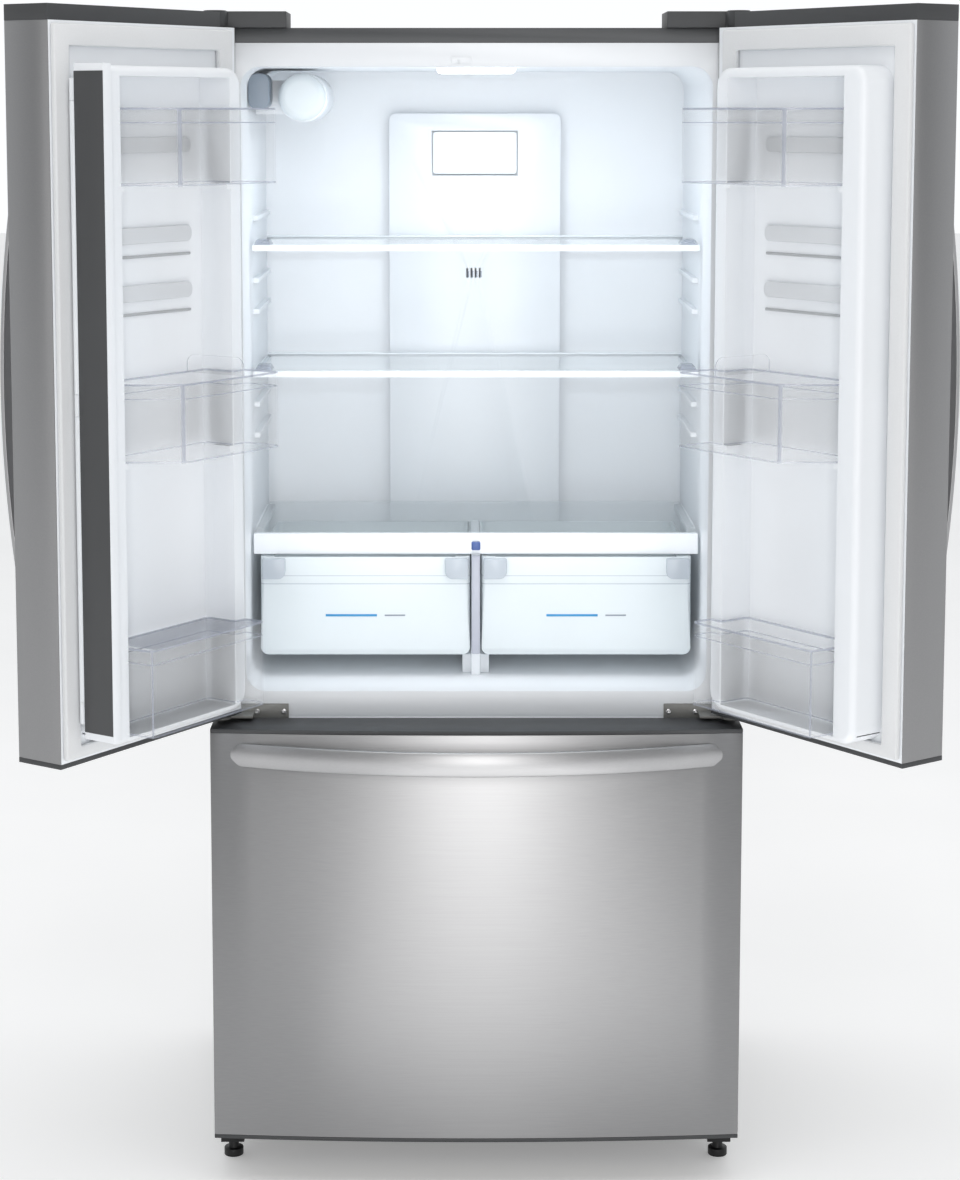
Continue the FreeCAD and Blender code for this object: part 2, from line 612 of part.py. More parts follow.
def crisper_cover():
    """Glass over the crispers and the white frame: front trim and upright between the drawers."""
    span = ("0 - fridge_half + shelf_side_gap", "fridge_half - shelf_side_gap")
    glass = body("crisper_cover_glass")
    block(glass, span, ("crisper_front + cover_setback + cover_trim_deep", "cover_back"),
          ("cover_top - shelf_glass", "cover_top"))
    frame = body("crisper_frame")
    block(frame, span, ("crisper_front + cover_setback", "crisper_front + cover_setback + cover_trim_deep"),
          ("cover_top - cover_trim_tall", "cover_top"))
    block(frame, ("0 - divider_half", "divider_half"),
          ("crisper_front + cover_setback + 2", "cover_back"),
          ("fridge_floor", "cover_top - cover_trim_tall"))
    block(frame, ("0 - divider_half - skirt_out", "divider_half + skirt_out"),
          ("crisper_front + skirt_back", "cover_back"), ("fridge_floor", "fridge_floor + skirt_tall"))


def crisper(label, side):
    """A clear drawer with a raised front panel and a finger recess under its rim."""
    piece = body(label)
    x = mirrored_pair("divider_half + drawer_slip", "crisper_half")[side]
    inner_x = (x[0] + " + crisper_wall", x[1] + " - crisper_wall")
    back = "crisper_front + crisper_depth"
    block(piece, x, ("crisper_front", back), ("crisper_floor", "crisper_top"))
    rounded(piece, "crisper_round", lambda middle, direction: direction == "Y"
            and middle.z < value("crisper_floor") + 1)
    block(piece, inner_x, ("crisper_front + panel_thick", back + " - crisper_wall"),
          ("crisper_floor + crisper_wall", "crisper_top + 1"), cut=True)
    block(piece, (x[0] + " + grip_in", x[1] + " - grip_in"),
          ("crisper_front + crisper_wall", "crisper_front + panel_thick + 4"),
          ("crisper_top - grip_drop", "crisper_top + 1"), cut=True)


def air_duct():
    """Cold air duct cover on the rear wall, with its filter flap."""
    cover = body("air_duct_cover")
    front = "fridge_depth - duct_thick"
    block(cover, ("0 - duct_half", "duct_half"), (front, "fridge_depth"),
          ("fridge_floor + duct_foot", "duct_top"))
    rounded(cover, "duct_round", lambda middle, direction: direction == "Y")
    block(cover, ("0 - duct_half + duct_wall", "duct_half - duct_wall"),
          (front + " + duct_face", "fridge_depth + 1"),
          ("fridge_floor + duct_foot + duct_wall", "duct_top - duct_wall"), cut=True)
    block(cover, ("0 - filter_half - flap_gap", "filter_half + flap_gap"),
          (front + " - 1", front + " + flap_recess"),
          ("filter_low - flap_gap", "filter_high + flap_gap"), cut=True)
    for column in range(VENT_COLUMNS):
        left = "0 - 2 * vent_pitch + %d * vent_pitch" % column
        block(cover, (left, left + " + vent_wide"), (front + " - 1", front + " + duct_face + 1"),
              ("vent_low", "vent_low + vent_tall"),
              cut=True)
    flap = body("air_filter_door")
    block(flap, ("0 - filter_half", "filter_half"),
          (front + " - flap_proud", front + " - flap_proud + filter_thick"),
          ("filter_low + flap_rise", "filter_high"))
    rounded(flap, "flap_round", lambda middle, direction: direction == "Y")


def lamp_lens():
    """Shallow moulded lens under the ceiling."""
    piece = body("lamp_lens")
    block(piece, ("0 - lamp_half", "lamp_half"), ("lamp_front", "lamp_front + lamp_deep"),
          ("fridge_ceiling - lamp_drop", "fridge_ceiling"))
    rounded(piece, "lamp_drop * 0.8", lambda middle, direction: direction in "XY"
            and middle.z < value("fridge_ceiling") - 1)


def mullion_guide():
    """Guide block that catches the folding mullion when the left door shuts."""
    piece = body("mullion_guide")
    block(piece, ("0 - 38", "0 - 8"), ("0 - 2.4", "0"),
          ("fridge_ceiling + 5", "fridge_ceiling + 14"))
    block(piece, ("0 - 30", "0 - 26"), ("0 - 3", "0 - 1"), ("fridge_ceiling + 4",
          "fridge_ceiling + 10"), cut=True)


def water_filter():
    """Round filter housing under the ceiling and its front cap."""
    housing = body("water_filter_housing")
    start = ("0 - bottle_reach", "bottle_front + bottle_cap + 0.5", "bottle_level")
    rod(housing, "Y", start, "bottle_radius", "bottle_long")
    block(housing, ("0 - fridge_half + 8", "0 - bottle_reach"),
          ("bottle_front + bottle_cap + 30", "bottle_front + bottle_cap + bottle_long"),
          ("bottle_level - 26", "bottle_level + 26"))
    rod(housing, "Y", ("0 - bottle_reach", "bottle_front + bottle_cap - 8", "bottle_level"),
        "bottle_radius * 0.4", "12")
    cap = body("water_filter_cap")
    rod(cap, "Y", ("0 - bottle_reach", "bottle_front", "bottle_level"), "bottle_radius - 2",
        "bottle_cap")
    doc.recompute()
    plain = cap.Tip
    rim = [number for number, edge in enumerate(plain.Shape.Edges, start=1)
           if edge.Curve.TypeId == "Part::GeomCircle"
           and edge.BoundBox.YMax < value("bottle_front + bottle_cap / 2")]
    dome = cap.newObject("PartDesign::Fillet", "cap_dome")
    dome.Base = (plain, ["Edge%d" % rim[0]])
    dome.setExpression("Radius", bound("bottle_cap * 0.45"))
    cap.Tip = dome
    rod(cap, "Y", ("0 - bottle_reach", "bottle_front + bottle_cap / 2", "bottle_level"),
        "bottle_radius * 0.4 + 0.5", "bottle_cap", cut=True)


# ---------------------------------------------------------------- cooling
def finned_coil(label, x, y, z, tube_levels):
    """A block of thin fins on straight tubes, ends joined by plates."""
    pieces = []
    count = int((value(x[1]) - value(x[0])) // value("fin_pitch")) + 1
    for number in range(count):
        left = "%s + %d * fin_pitch" % (x[0], number)
        pieces.append(box("%s_fin_%d" % (label, number), (left, left + " + fin_thick"), y, z))
    middle = "((%s) + (%s)) / 2" % y
    for number, level in enumerate(tube_levels):
        pieces.append(bar("%s_tube_%d" % (label, number), "X", (x[0] + " - 8", middle, level),
                          "tube_radius", "(%s) - (%s) + 16" % (x[1], x[0])))
    return joined(label, pieces)


def compressor():
    """Hermetic compressor: a domed can on two rails."""
    place = ("0 - 190", "(machine_front + cabinet_depth) / 2", "cabinet_base + pan_wall + 10")
    can = bar("can", "Z", place, "compressor_radius", "compressor_tall")
    doc.recompute()
    rims = [(number, value("compressor_radius") * 0.45, value("compressor_radius") * 0.45)
            for number, edge in enumerate(can.Shape.Edges, start=1)
            if edge.Curve.TypeId == "Part::GeomCircle"]
    domed = doc.addObject("Part::Fillet", "domed_can")
    domed.Base = can
    domed.Edges = rims
    rails = [box("rail_%d" % number, (place[0] + " - 80", place[0] + " + 80"),
                 (place[1] + " + %d" % offset, place[1] + " + %d" % (offset + 20)),
                 ("cabinet_base + pan_wall", "cabinet_base + pan_wall + 14"))
             for number, offset in enumerate((-40, 20))]
    return joined("compressor", [domed] + rails)


def cooling():
    """Compressor, condenser, evaporator, its cover and its fan."""
    compressor()
    finned_coil("condenser_coil", ("40", "330"), ("machine_front + 30", "cabinet_depth - 40"),
                ("cabinet_base + pan_wall", "cabinet_base + 150"), ("90", "130", "170"))
    finned_coil("evaporator_coil", ("0 - 280", "280"),
                ("freezer_step_depth + 30", "freezer_depth - 12"), ("machine_top + 40", "460"),
                ("340", "380", "420"))
    cover = body("evaporator_cover")
    cover_y = ("freezer_step_depth - 4", "freezer_step_depth - 1")
    block(cover, ("0 - freezer_half + 3", "freezer_half - 3"), cover_y,
          ("machine_top + step_rise", "freezer_ceiling - fridge_corner"))
    rod(cover, "Y", ("0", cover_y[0] + " - 1", "fan_level - 30"), "fan_radius + 4", "6", cut=True)
    block(cover, ("0 - 5", "5"), cover_y, ("fan_level - 30 - fan_radius - 8",
          "fan_level - 30 + fan_radius + 8"))
    rod(cover, "Y", ("0", cover_y[0], "fan_level - 30"), "fan_shaft", "34")
    fan = body("evaporator_fan")
    hub = ("0", "freezer_step_depth + 4", "fan_level - 30")
    rod(fan, "Y", hub, "14", "22")
    for x, z in ((("0 - fan_radius", "fan_radius"), ("hub", 8)), (("hub", 8), ("0", "0"))):
        if x[0] == "hub":
            block(fan, ("0 - 8", "8"), ("freezer_step_depth + 12", "freezer_step_depth + 15"),
                  ("fan_level - 30 - fan_radius", "fan_level - 30 + fan_radius"))
        else:
            block(fan, x, ("freezer_step_depth + 12", "freezer_step_depth + 15"),
                  ("fan_level - 30 - 8", "fan_level - 30 + 8"))
    rod(fan, "Y", (hub[0], "freezer_step_depth + 3", hub[2]), "fan_shaft + pin_clearance", "26",
        cut=True)


# ---------------------------------------------------------------- upper doors
def door_plan(side):
    """X range of a whole door."""
    return reach(side, "0 - hinge_in", FREE_EDGE)


def door_slab(name, side, low, high, inset="0"):
    """A door's bowed plan between two heights, round at the hinge side's front corner."""
    slab = bowed_slab(name + "_square", door_plan(side), low, high, "door_gap + door_thick",
                      "door_bow", inset)
    edge = value(HALF) - 5
    front = value("0 - door_gap - (door_thick - door_bow) / 2")
    return softened(name, slab, "corner_round - (%s)" % inset,
                    lambda middle: abs(middle.x) > edge and middle.y < front)


def door_skin(name, side):
    """Pressed steel front that wraps both upright edges."""
    outer = door_slab(name + "_outer", side, SKIN_LOW, SKIN_HIGH)
    inner = door_slab(name + "_inner", side, SKIN_LOW + " - 1", SKIN_HIGH + " + 1", "skin_wall")
    back = box(name + "_back", reach(side, "0 - hinge_in + skin_wall", FREE_EDGE + " - skin_wall"),
               ("0 - door_gap - 5", "1"), (SKIN_LOW + " - 1", SKIN_HIGH + " + 1"))
    return less(name, outer, joined(name + "_room", [inner, back]))


def door_caps(name, side):
    """End caps: the top one is cut back round the hinge and both carry a bush."""
    axis = ("%d * %s" % (side, AXIS_X), AXIS_Y)
    top = door_slab(name + "_top", side, SKIN_HIGH, "door_top")
    corner = box(name + "_corner", reach(side, "0 - hinge_in - 1", "hinge_in + 1.2"),
                 ("0 - door_gap - door_thick", "1"), ("cabinet_top - 0.6", "door_top + 1"))
    low = door_slab(name + "_low", side, "door_bottom", SKIN_LOW)
    bush_top = bar(name + "_bush_top", "Z", axis + (SKIN_HIGH + " - bush_long",),
                   "pin_radius + bush_wall", "bush_long")
    bush_low = bar(name + "_bush_low", "Z", axis + (SKIN_LOW,), "pin_radius + bush_wall",
                   "bush_long")
    drilling = bar(name + "_drill", "Z", axis + ("door_bottom - 1",),
                   "pin_radius + pin_clearance", "door_top - door_bottom + 2")
    solid = joined(name + "_solid", [less(name + "_cut", top, corner), low, bush_top, bush_low])
    return less(name, solid, drilling)


def door_liner(name, side):
    """Inner moulding: a plate, a hollow dyke that enters the opening, and lugs for the bins."""
    piece = body(name)
    plate_y = inward("hinge_back - liner_wall", "hinge_back")
    block(piece, reach(side, "0 - hinge_in + skin_wall", FREE_EDGE + " - skin_wall"), plate_y,
          (SKIN_LOW, SKIN_HIGH))
    block(piece, reach(side, "dyke_start", "dyke_end"), inward("hinge_back", DYKE_FACE),
          (DYKE_LOW, DYKE_HIGH))
    rounded(piece, "fridge_corner - dyke_margin", lambda middle, direction: direction == "Y"
            and middle.y > value(AXIS_Y + " + hinge_back") + 1)
    rounded(piece, "10", lambda middle, direction: direction in "XZ"
            and abs(middle.y - value(AXIS_Y + " + " + DYKE_FACE)) < 0.01)
    recess_z = (DYKE_LOW + " + dyke_foot", DYKE_HIGH + " - dyke_head")
    recess_s = ("dyke_start + dyke_narrow", "dyke_end - dyke_wide")
    block(piece, reach(side, *recess_s), inward("hinge_back", DYKE_FACE + " + 1"), recess_z,
          cut=True)
    wall = "liner_wall"
    groove_y = inward("hinge_back - liner_wall - 1", DYKE_FACE + " - 12")
    for near, far in (("dyke_start + " + wall, recess_s[0] + " - " + wall),
                      (recess_s[1] + " + " + wall, "dyke_end - " + wall)):
        block(piece, reach(side, near, far), groove_y, (DYKE_LOW + " + 12", DYKE_HIGH + " - 16"),
              cut=True)
    for floor in ("top_bin_floor", "middle_bin_floor"):
        for near, far in ((recess_s[0], recess_s[0] + " + lug_out"),
                          (recess_s[1] + " - lug_out", recess_s[1])):
            block(piece, reach(side, near, far),
                  inward("hinge_back + dyke_out - lug_deep", DYKE_FACE), (floor + " - lug_tall",
                                                                         floor))


def door_gasket(name, side):
    """Magnetic gasket round the inner face."""
    piece = body(name)
    outer_s = ("gasket_inset - hinge_in", FREE_EDGE + " - gasket_edge")
    inner_s = (outer_s[0] + " + gasket_wide", outer_s[1] + " - gasket_wide")
    outer_z = ("door_bottom + gasket_low", "door_top - gasket_high")
    inner_z = ("fridge_floor + dyke_margin - 1", "door_top - gasket_high - gasket_wide")
    block(piece, reach(side, *outer_s), inward("hinge_back", "hinge_back + gasket_thick"), outer_z)
    block(piece, reach(side, *inner_s),
          inward("hinge_back - 1", "hinge_back + gasket_thick + 1"), inner_z, cut=True)


def strap(name, along, x, z, chord, out, front, slab):
    """A bowed bar that rises from a bowed front and sinks back into it."""
    swell = "((%s) * (%s) / 4 + %s * %s) / (2 * %s)" % (chord, chord, out, out, out)
    centre_y = "0 - (%s) - %s + %s" % (front, out, swell)
    if along == "X":
        start = (x[0], centre_y, "((%s) + (%s)) / 2" % z)
        length = "(%s) - (%s)" % (x[1], x[0])
    else:
        start = ("((%s) + (%s)) / 2" % x, centre_y, z[0])
        length = "(%s) - (%s)" % (z[1], z[0])
    ring = less(name + "_ring", bar(name + "_outer", along, start, swell, length),
                bar(name + "_inner", along, start, swell + " - grip_thick", length))
    window = box(name + "_window", x, ("0 - (%s) - %s - 2" % (front, out), "0 - door_gap - 20"), z)
    return shared(name, ring, less(name + "_room", window, slab))


def door_handle(name, side):
    """Upright strap handle near the free edge."""
    x = reach(side, FREE_EDGE + " - grip_edge - grip_wide / 2",
              FREE_EDGE + " - grip_edge + grip_wide / 2")
    z = ("grip_mid - grip_long / 2 - strap_sunk", "grip_mid + grip_long / 2 + strap_sunk")
    slab = door_slab(name + "_slab", side, SKIN_LOW, SKIN_HIGH)
    return strap(name, "X", x, z, "grip_long", "grip_out", "door_gap + door_thick", slab)


def door_bin(name, side, floor, rim, front_start, front_end, front_reach):
    """A clear bin that sits between the dyke's sides and swells in front of them."""
    piece = body(name)
    face = DYKE_FACE + " + bin_gap"
    back = "hinge_back + bin_back"
    near = "dyke_start + dyke_narrow + bin_gap"
    far = "dyke_end - dyke_wide - bin_gap"
    plan = [(near, back), (near, face), (front_start, face), (front_start, front_reach),
            (front_end, front_reach), (far, face), (far, back)]
    wall = "bin_wall"
    slant = "bin_wall * 1.3"
    room = [(near + " + " + wall, back + " + " + wall),
            (near + " + " + wall, face + " + " + wall),
            (front_start + " + " + wall, face + " + " + wall),
            (front_start + " + " + wall, front_reach + " - " + wall),
            (front_end + " - " + slant, front_reach + " - " + wall),
            (far + " - " + slant, face + " + " + wall), (far + " - " + slant, back + " + " + wall)]
    outline(piece, [(across(side, s), AXIS_Y + " + " + q) for s, q in plan], floor, rim)
    outline(piece, [(across(side, s), AXIS_Y + " + " + q) for s, q in room],
            floor + " + " + wall, rim + " + 1", cut=True)


# ---------------------------------------------------------------- folding mullion
def mullion():
    """Folding mullion on the left door: a plastic body, a steel face and its long hinge."""
    side = LEFT
    piece = body("mullion_body")
    thick_s = ("mullion_face - mullion_thick", "mullion_face - strip_thick")
    block(piece, reach(side, *thick_s), inward("mullion_near", "mullion_far"),
          ("mullion_foot", "mullion_head"))
    axis = (across(side, "fold_reach"), AXIS_Y + " + fold_in")
    gap = "knuckle_tall"
    middle = "(mullion_foot + mullion_head) / 2"
    spans = (("mullion_foot + 20 + " + gap, middle + " - " + gap + " / 2 - 0.5"),
             (middle + " + " + gap + " / 2 + 0.5", "mullion_head - 20 - " + gap))
    for low, high in spans:
        rod(piece, "Z", axis + (low,), "knuckle_radius", "(%s) - (%s)" % (high, low))
        block(piece, reach(side, "fold_reach - 3", "fold_reach + 3"),
              inward("fold_in", "mullion_near"), (low, high))
        rod(piece, "Z", axis + (low + " - 1",), "knuckle_pin + pin_clearance",
            "(%s) - (%s) + 2" % (high, low), cut=True)
    face = body("mullion_strip")
    block(face, reach(side, "mullion_face - strip_thick", "mullion_face"),
          inward("mullion_near", "mullion_far"),
          ("mullion_foot + strip_inset", "mullion_head - strip_inset"))
    pin = body("mullion_hinge")
    knuckles = (("mullion_foot + 19.5", "mullion_foot + 19.5 + " + gap),
                (middle + " - " + gap + " / 2", middle + " + " + gap + " / 2"),
                ("mullion_head - 19.5 - " + gap, "mullion_head - 19.5"))
    for low, high in knuckles:
        rod(pin, "Z", axis + (low,), "knuckle_radius", "(%s) - (%s)" % (high, low))
        block(pin, reach(side, "dyke_end", "fold_reach"),
              inward("fold_in - 3", "fold_in + 3"), (low, high))
    rod(pin, "Z", axis + ("mullion_foot + 19.5",), "knuckle_pin",
        "mullion_head - mullion_foot - 39")


# ---------------------------------------------------------------- freezer drawer
DRAWER_X = ("0 - drawer_half", "drawer_half")
DRAWER_FRONT = "door_gap + drawer_thick"


def drawer_front():
    """Bowed steel front with end caps, liner, gasket and the wide bowed pull."""
    low, high = "drawer_bottom + drawer_cap", "drawer_top - drawer_cap"
    outer = bowed_slab("drawer_outer", DRAWER_X, low, high, DRAWER_FRONT, "drawer_bow")
    inner = bowed_slab("drawer_inner", DRAWER_X, low + " - 1", high + " + 1", DRAWER_FRONT,
                       "drawer_bow", "skin_wall")
    back = box("drawer_back", ("0 - drawer_half + skin_wall", "drawer_half - skin_wall"),
               ("0 - door_gap - 5", "1"), (low + " - 1", high + " + 1"))
    less("drawer_skin", outer, joined("drawer_room", [inner, back]))
    joined("drawer_caps",
           [bowed_slab("drawer_cap_low", DRAWER_X, "drawer_bottom", low, DRAWER_FRONT,
                       "drawer_bow"),
            bowed_slab("drawer_cap_high", DRAWER_X, high, "drawer_top", DRAWER_FRONT,
                       "drawer_bow")])
    liner = body("drawer_liner")
    block(liner, ("0 - drawer_half + skin_wall", "drawer_half - skin_wall"),
          ("0 - door_gap - liner_wall", "0 - door_gap"), (low, high))
    block(liner, ("0 - plug_half", "plug_half"), ("0 - door_gap", "0 - door_gap + plug_out"),
          ("plug_floor", "plug_top"))
    rounded(liner, "20", lambda middle, direction: direction == "Y"
            and middle.y > value("0 - door_gap") + 1)
    block(liner, ("0 - plug_half + liner_wall", "plug_half - liner_wall"),
          ("0 - door_gap - liner_wall - 1", "0 - door_gap + plug_out - liner_wall"),
          ("plug_floor + 20", "plug_top - 20"), cut=True)
    gasket = body("drawer_gasket")
    gasket_y = ("0 - door_gap", "0 - door_gap + gasket_thick")
    block(gasket, ("0 - freezer_half - 24", "freezer_half + 24"), gasket_y,
          ("drawer_bottom + 24", "drawer_top - 14"))
    block(gasket, ("0 - freezer_half + 5.5", "freezer_half - 5.5"),
          ("0 - door_gap - 1", "0 - door_gap + gasket_thick + 1"),
          ("drawer_bottom + 54", "drawer_top - 44"), cut=True)
    slab = bowed_slab("pull_slab", DRAWER_X, low, high, DRAWER_FRONT, "drawer_bow")
    strap("drawer_handle", "Z", ("0 - pull_long / 2 - strap_sunk", "pull_long / 2 + strap_sunk"),
          ("pull_mid - pull_tall / 2", "pull_mid + pull_tall / 2"), "pull_long", "pull_out",
          DRAWER_FRONT, slab)


def drawer_slides():
    """Fixed channels on the freezer walls and the bars that run on them."""
    fixed = body("freezer_rails")
    moving = body("drawer_rails")
    low, high = "slide_low", "slide_low + slide_tall"
    for side in (LEFT, RIGHT):
        block(fixed, mirrored_pair("freezer_half - slide_thick", "freezer_half")[side],
              ("2", "slide_long"), (low, high))
        block(moving, mirrored_pair("freezer_half - 2 * slide_thick - 0.5",
                                    "freezer_half - slide_thick - 0.5")[side],
              ("0 - door_gap", "slide_long - 4"), (low, high))
        block(moving, mirrored_pair("basket_half + 0.5", "freezer_half - 2 * slide_thick")[side],
              ("basket_front", "basket_back"), (low, low + " + 5"))


def drawer_basket():
    """Deep freezer basket that hangs on the moving bars by a lip."""
    piece = body("drawer_basket")
    block(piece, ("0 - basket_half", "basket_half"), ("basket_front", "basket_back"),
          ("basket_floor", "basket_rim"))
    rounded(piece, "18", lambda middle, direction: direction == "Z")
    block(piece, ("0 - basket_half + basket_wall", "basket_half - basket_wall"),
          ("basket_front + basket_wall", "basket_back - basket_wall"),
          ("basket_floor + basket_wall", "basket_rim + 1"), cut=True)
    for side in (LEFT, RIGHT):
        block(piece, mirrored_pair("basket_half - basket_wall", "basket_half + basket_lip")[side],
              ("basket_front + 20", "basket_back - 20"),
              ("slide_low + 5", "slide_low + 9"))


def freezer_tray():
    """Shallow tray that rides on the basket's rim."""
    piece = body("freezer_tray")
    block(piece, ("0 - basket_half", "basket_half"), ("basket_front", "tray_back"),
          ("basket_rim", "tray_rim"))
    rounded(piece, "18", lambda middle, direction: direction == "Z")
    block(piece, ("0 - basket_half + basket_wall", "basket_half - basket_wall"),
          ("basket_front + basket_wall", "tray_back - basket_wall"),
          ("basket_rim + basket_wall", "tray_rim + 1"), cut=True)


# ---------------------------------------------------------------- build
cabinet_shell()
cabinet_back()
base_frame()
levelling_feet()
rear_rollers()
fridge_liner()
freezer_liner()
insulation_foam()
centre_rail()
machine_cover()
cord_gland()
top_hinges()
hinge_covers()
middle_hinges()
hinge_screws()
shelf_glasses()
shelf_trims()
crisper_cover()
air_duct()
lamp_lens()
mullion_guide()
water_filter()
cooling()
drawer_front()
drawer_slides()
drawer_basket()
freezer_tray()
mullion()
BINS = {"top": ("top_bin_floor", "top_bin_rim", "bin_start", "bin_end", "bin_reach"),
        "middle": ("middle_bin_floor", "middle_bin_rim", "bin_start", "bin_end", "bin_reach"),
        "bottom": ("bottom_bin_floor", "bottom_bin_rim", "bin_start + 6",
                   "dyke_end - dyke_wide - bin_gap - 2", "bottom_bin_reach")}
for word, side in SIDES.items():
    crisper("crisper_" + word, side)
    door_skin(word + "_door_skin", side)
    door_caps(word + "_door_caps", side)
    door_liner(word + "_door_liner", side)
    door_gasket(word + "_door_gasket", side)
    door_handle(word + "_door_handle", side)
    for place, sizes in BINS.items():
        door_bin("%s_%s_bin" % (word, place), side, *sizes)

NODES = """cabinet_shell cabinet_back base_frame levelling_feet rear_rollers fridge_liner
freezer_liner insulation_foam centre_rail machine_cover cord_gland top_hinges hinge_covers
middle_hinges hinge_screws shelf_glasses shelf_trims crisper_cover_glass crisper_frame
air_duct_cover air_filter_door lamp_lens mullion_guide water_filter_housing
water_filter_cap compressor condenser_coil evaporator_coil evaporator_cover evaporator_fan
drawer_skin drawer_caps drawer_liner drawer_gasket drawer_handle freezer_rails drawer_rails
drawer_basket freezer_tray mullion_body mullion_strip mullion_hinge crisper_left
crisper_right""".split()
DOOR_NODES = {word: [word + "_door_" + kind for kind in
                     ("skin", "caps", "liner", "gasket", "handle")]
              + ["%s_%s_bin" % (word, place) for place in BINS] for word in SIDES}
DOOR_NODES["left"] += ["mullion_body", "mullion_strip", "mullion_hinge"]
NODES += [name for word in SIDES for name in DOOR_NODES[word] if name not in NODES]

doc.removeObject(probe.Name)
doc.recompute()


# ---------------------------------------------------------------- rest pose and origin
def opened(word):
    """Placement that swings one shut door to where it rests."""
    side = SIDES[word]
    half_width = sheet.cabinet_width / 2
    axis = V(side * (half_width - sheet.hinge_in), -sheet.door_gap - sheet.hinge_back, 0)
    angle = side * (sheet.right_open if side == RIGHT else sheet.left_open)
    return FreeCAD.Placement(V(0, 0, 0), FreeCAD.Rotation(V(0, 0, 1), angle), axis)


for word in SIDES:
    for name in DOOR_NODES[word]:
        piece = doc.getObject(name)
        piece.Placement = opened(word)
doc.recompute()

whole = FreeCAD.BoundBox()
for name in NODES:
    whole.add(doc.getObject(name).Shape.BoundBox)
to_origin = FreeCAD.Placement(V(-whole.Center.x, -whole.Center.y, -whole.ZMin), FreeCAD.Rotation())
for name in NODES:
    piece = doc.getObject(name)
    piece.Placement = to_origin.multiply(piece.Placement)
    piece.Label = name
doc.recompute()
print("origin moved by", to_origin.Base)

# ---------------------------------------------------------------- checks and export
faulty = [item.Label for item in doc.Objects if "Invalid" in item.State or "Error" in item.State]
if faulty:
    raise RuntimeError("did not build: " + ", ".join(faulty))
for name in NODES:
    shape = doc.getObject(name).Shape
    if shape.isNull() or not shape.isValid() or not shape.Solids:
        raise RuntimeError("%s has no valid solid" % name)

os.makedirs("parts", exist_ok=True)
for name in NODES:
    doc.getObject(name).Shape.exportStep(os.path.join("parts", name + ".step"))
print(len(NODES), "sub-parts")
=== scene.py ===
"""French door refrigerator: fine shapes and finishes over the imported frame.

Doors are worked on as if shut and then swung to where they rest.  Metres.
"""
import json
import math

import bmesh
import bpy
from bpy.props import FloatProperty, FloatVectorProperty, PointerProperty
from mathutils import Matrix, Vector


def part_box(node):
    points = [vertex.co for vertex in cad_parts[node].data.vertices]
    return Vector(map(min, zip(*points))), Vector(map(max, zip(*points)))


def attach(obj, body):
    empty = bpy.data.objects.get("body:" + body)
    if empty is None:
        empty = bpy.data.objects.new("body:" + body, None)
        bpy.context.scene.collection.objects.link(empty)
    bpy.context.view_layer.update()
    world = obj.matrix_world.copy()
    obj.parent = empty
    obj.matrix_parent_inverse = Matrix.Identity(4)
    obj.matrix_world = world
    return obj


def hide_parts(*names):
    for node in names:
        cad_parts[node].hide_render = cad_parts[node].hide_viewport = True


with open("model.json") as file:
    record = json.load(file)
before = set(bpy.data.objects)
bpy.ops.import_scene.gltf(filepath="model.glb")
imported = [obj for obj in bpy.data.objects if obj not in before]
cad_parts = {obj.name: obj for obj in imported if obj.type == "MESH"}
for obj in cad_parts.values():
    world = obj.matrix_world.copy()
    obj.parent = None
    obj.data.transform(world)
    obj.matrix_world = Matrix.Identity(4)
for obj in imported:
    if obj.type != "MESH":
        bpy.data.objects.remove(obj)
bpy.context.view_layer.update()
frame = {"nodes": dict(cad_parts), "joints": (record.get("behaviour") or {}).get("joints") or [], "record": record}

bl_info = {
    "name": "French Door Refrigerator",
    "version": (1, 0, 0),
    "blender": (4, 5, 0),
    "location": "View3D > Sidebar > Refrigerator",
    "description": "Builds the visible pieces of a french door refrigerator",
    "category": "Add Mesh",
}

JOINTS = {joint["name"]: joint for joint in frame["joints"]}
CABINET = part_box("cabinet_shell")
MID_X = (CABINET[0][0] + CABINET[1][0]) / 2
FRONT_Y = CABINET[0][1]
SIDES = {"left": -1, "right": 1}
MM = 0.001

# Radii of rounded edges, in metres
HAIR_EDGE = 0.0004
SLIDE_EDGE = 0.0005
SHEET_EDGE = 0.0006
PANEL_EDGE = 0.0008
SMALL_EDGE = 0.001
PART_EDGE = 0.0012
CAP_EDGE = 0.0015
TRIM_EDGE = 0.0018
COVER_EDGE = 0.002
LINER_EDGE = 0.0025
SEAL_EDGE = 0.003
EAR_EDGE = 0.0016
BAR_EDGE = 0.0014
BIN_EDGE = 0.0009

# Tests of direction, as the cosine with an axis, and of place, in metres
ALIGNED = 0.99
MOSTLY = 0.9
SLACK = 0.00001
UPRIGHT = 0.1

# Millimetres off the cabinet's middle, its front flange and the floor
SHELF_LEVELS = (1421, 1225)
CLIP_SPAN = (318, 345.5)
CLIP_DEPTH = (138.5, 196)
CLIP_RISE = (0.4, 9)
CLIP_TAPER = (0.7, 0.62, 1)
SOCKET = ((-349, 112, 1632), (-316, 176, 1686))
SOCKET_ROUND = 0.013
SLOT_PLACES = (-10.5, -3.5, 3.5, 10.5)
SLOT_LEVEL = 1358
SLOT_HALF = (0.0011, 0.0055)
SLOT_PROUD, SLOT_DEEP = 0.0006, 0.002
DIVIDER_POST = ((-6.4, 92.5, 787), (6.4, 96.5, 942))
DIVIDER_CAP = ((-7, 79.6, 953), (7, 92, 966))

# Lowest and highest level and depth of each bar on a door's liner, and of the thin dark strips painted as the
# shadow lines under two of the bars, in millimetres
LINER_BARS_AND_SHADOW_LINES = ((1570, 1592, 5), (1443, 1466, 5), (1423, 1427, 2.5), (1362, 1385, 5),
              (1342, 1346, 2.5))
BAR_REACH = (92, 292)
LINER_PLANE = 24
BAR_SUNK = 0.2
# Strips no deeper than this are painted shadow lines, the deeper ones are raised bars
SHADOW_LINE_DEPTH = 3
BAR_ROUND = 0.42
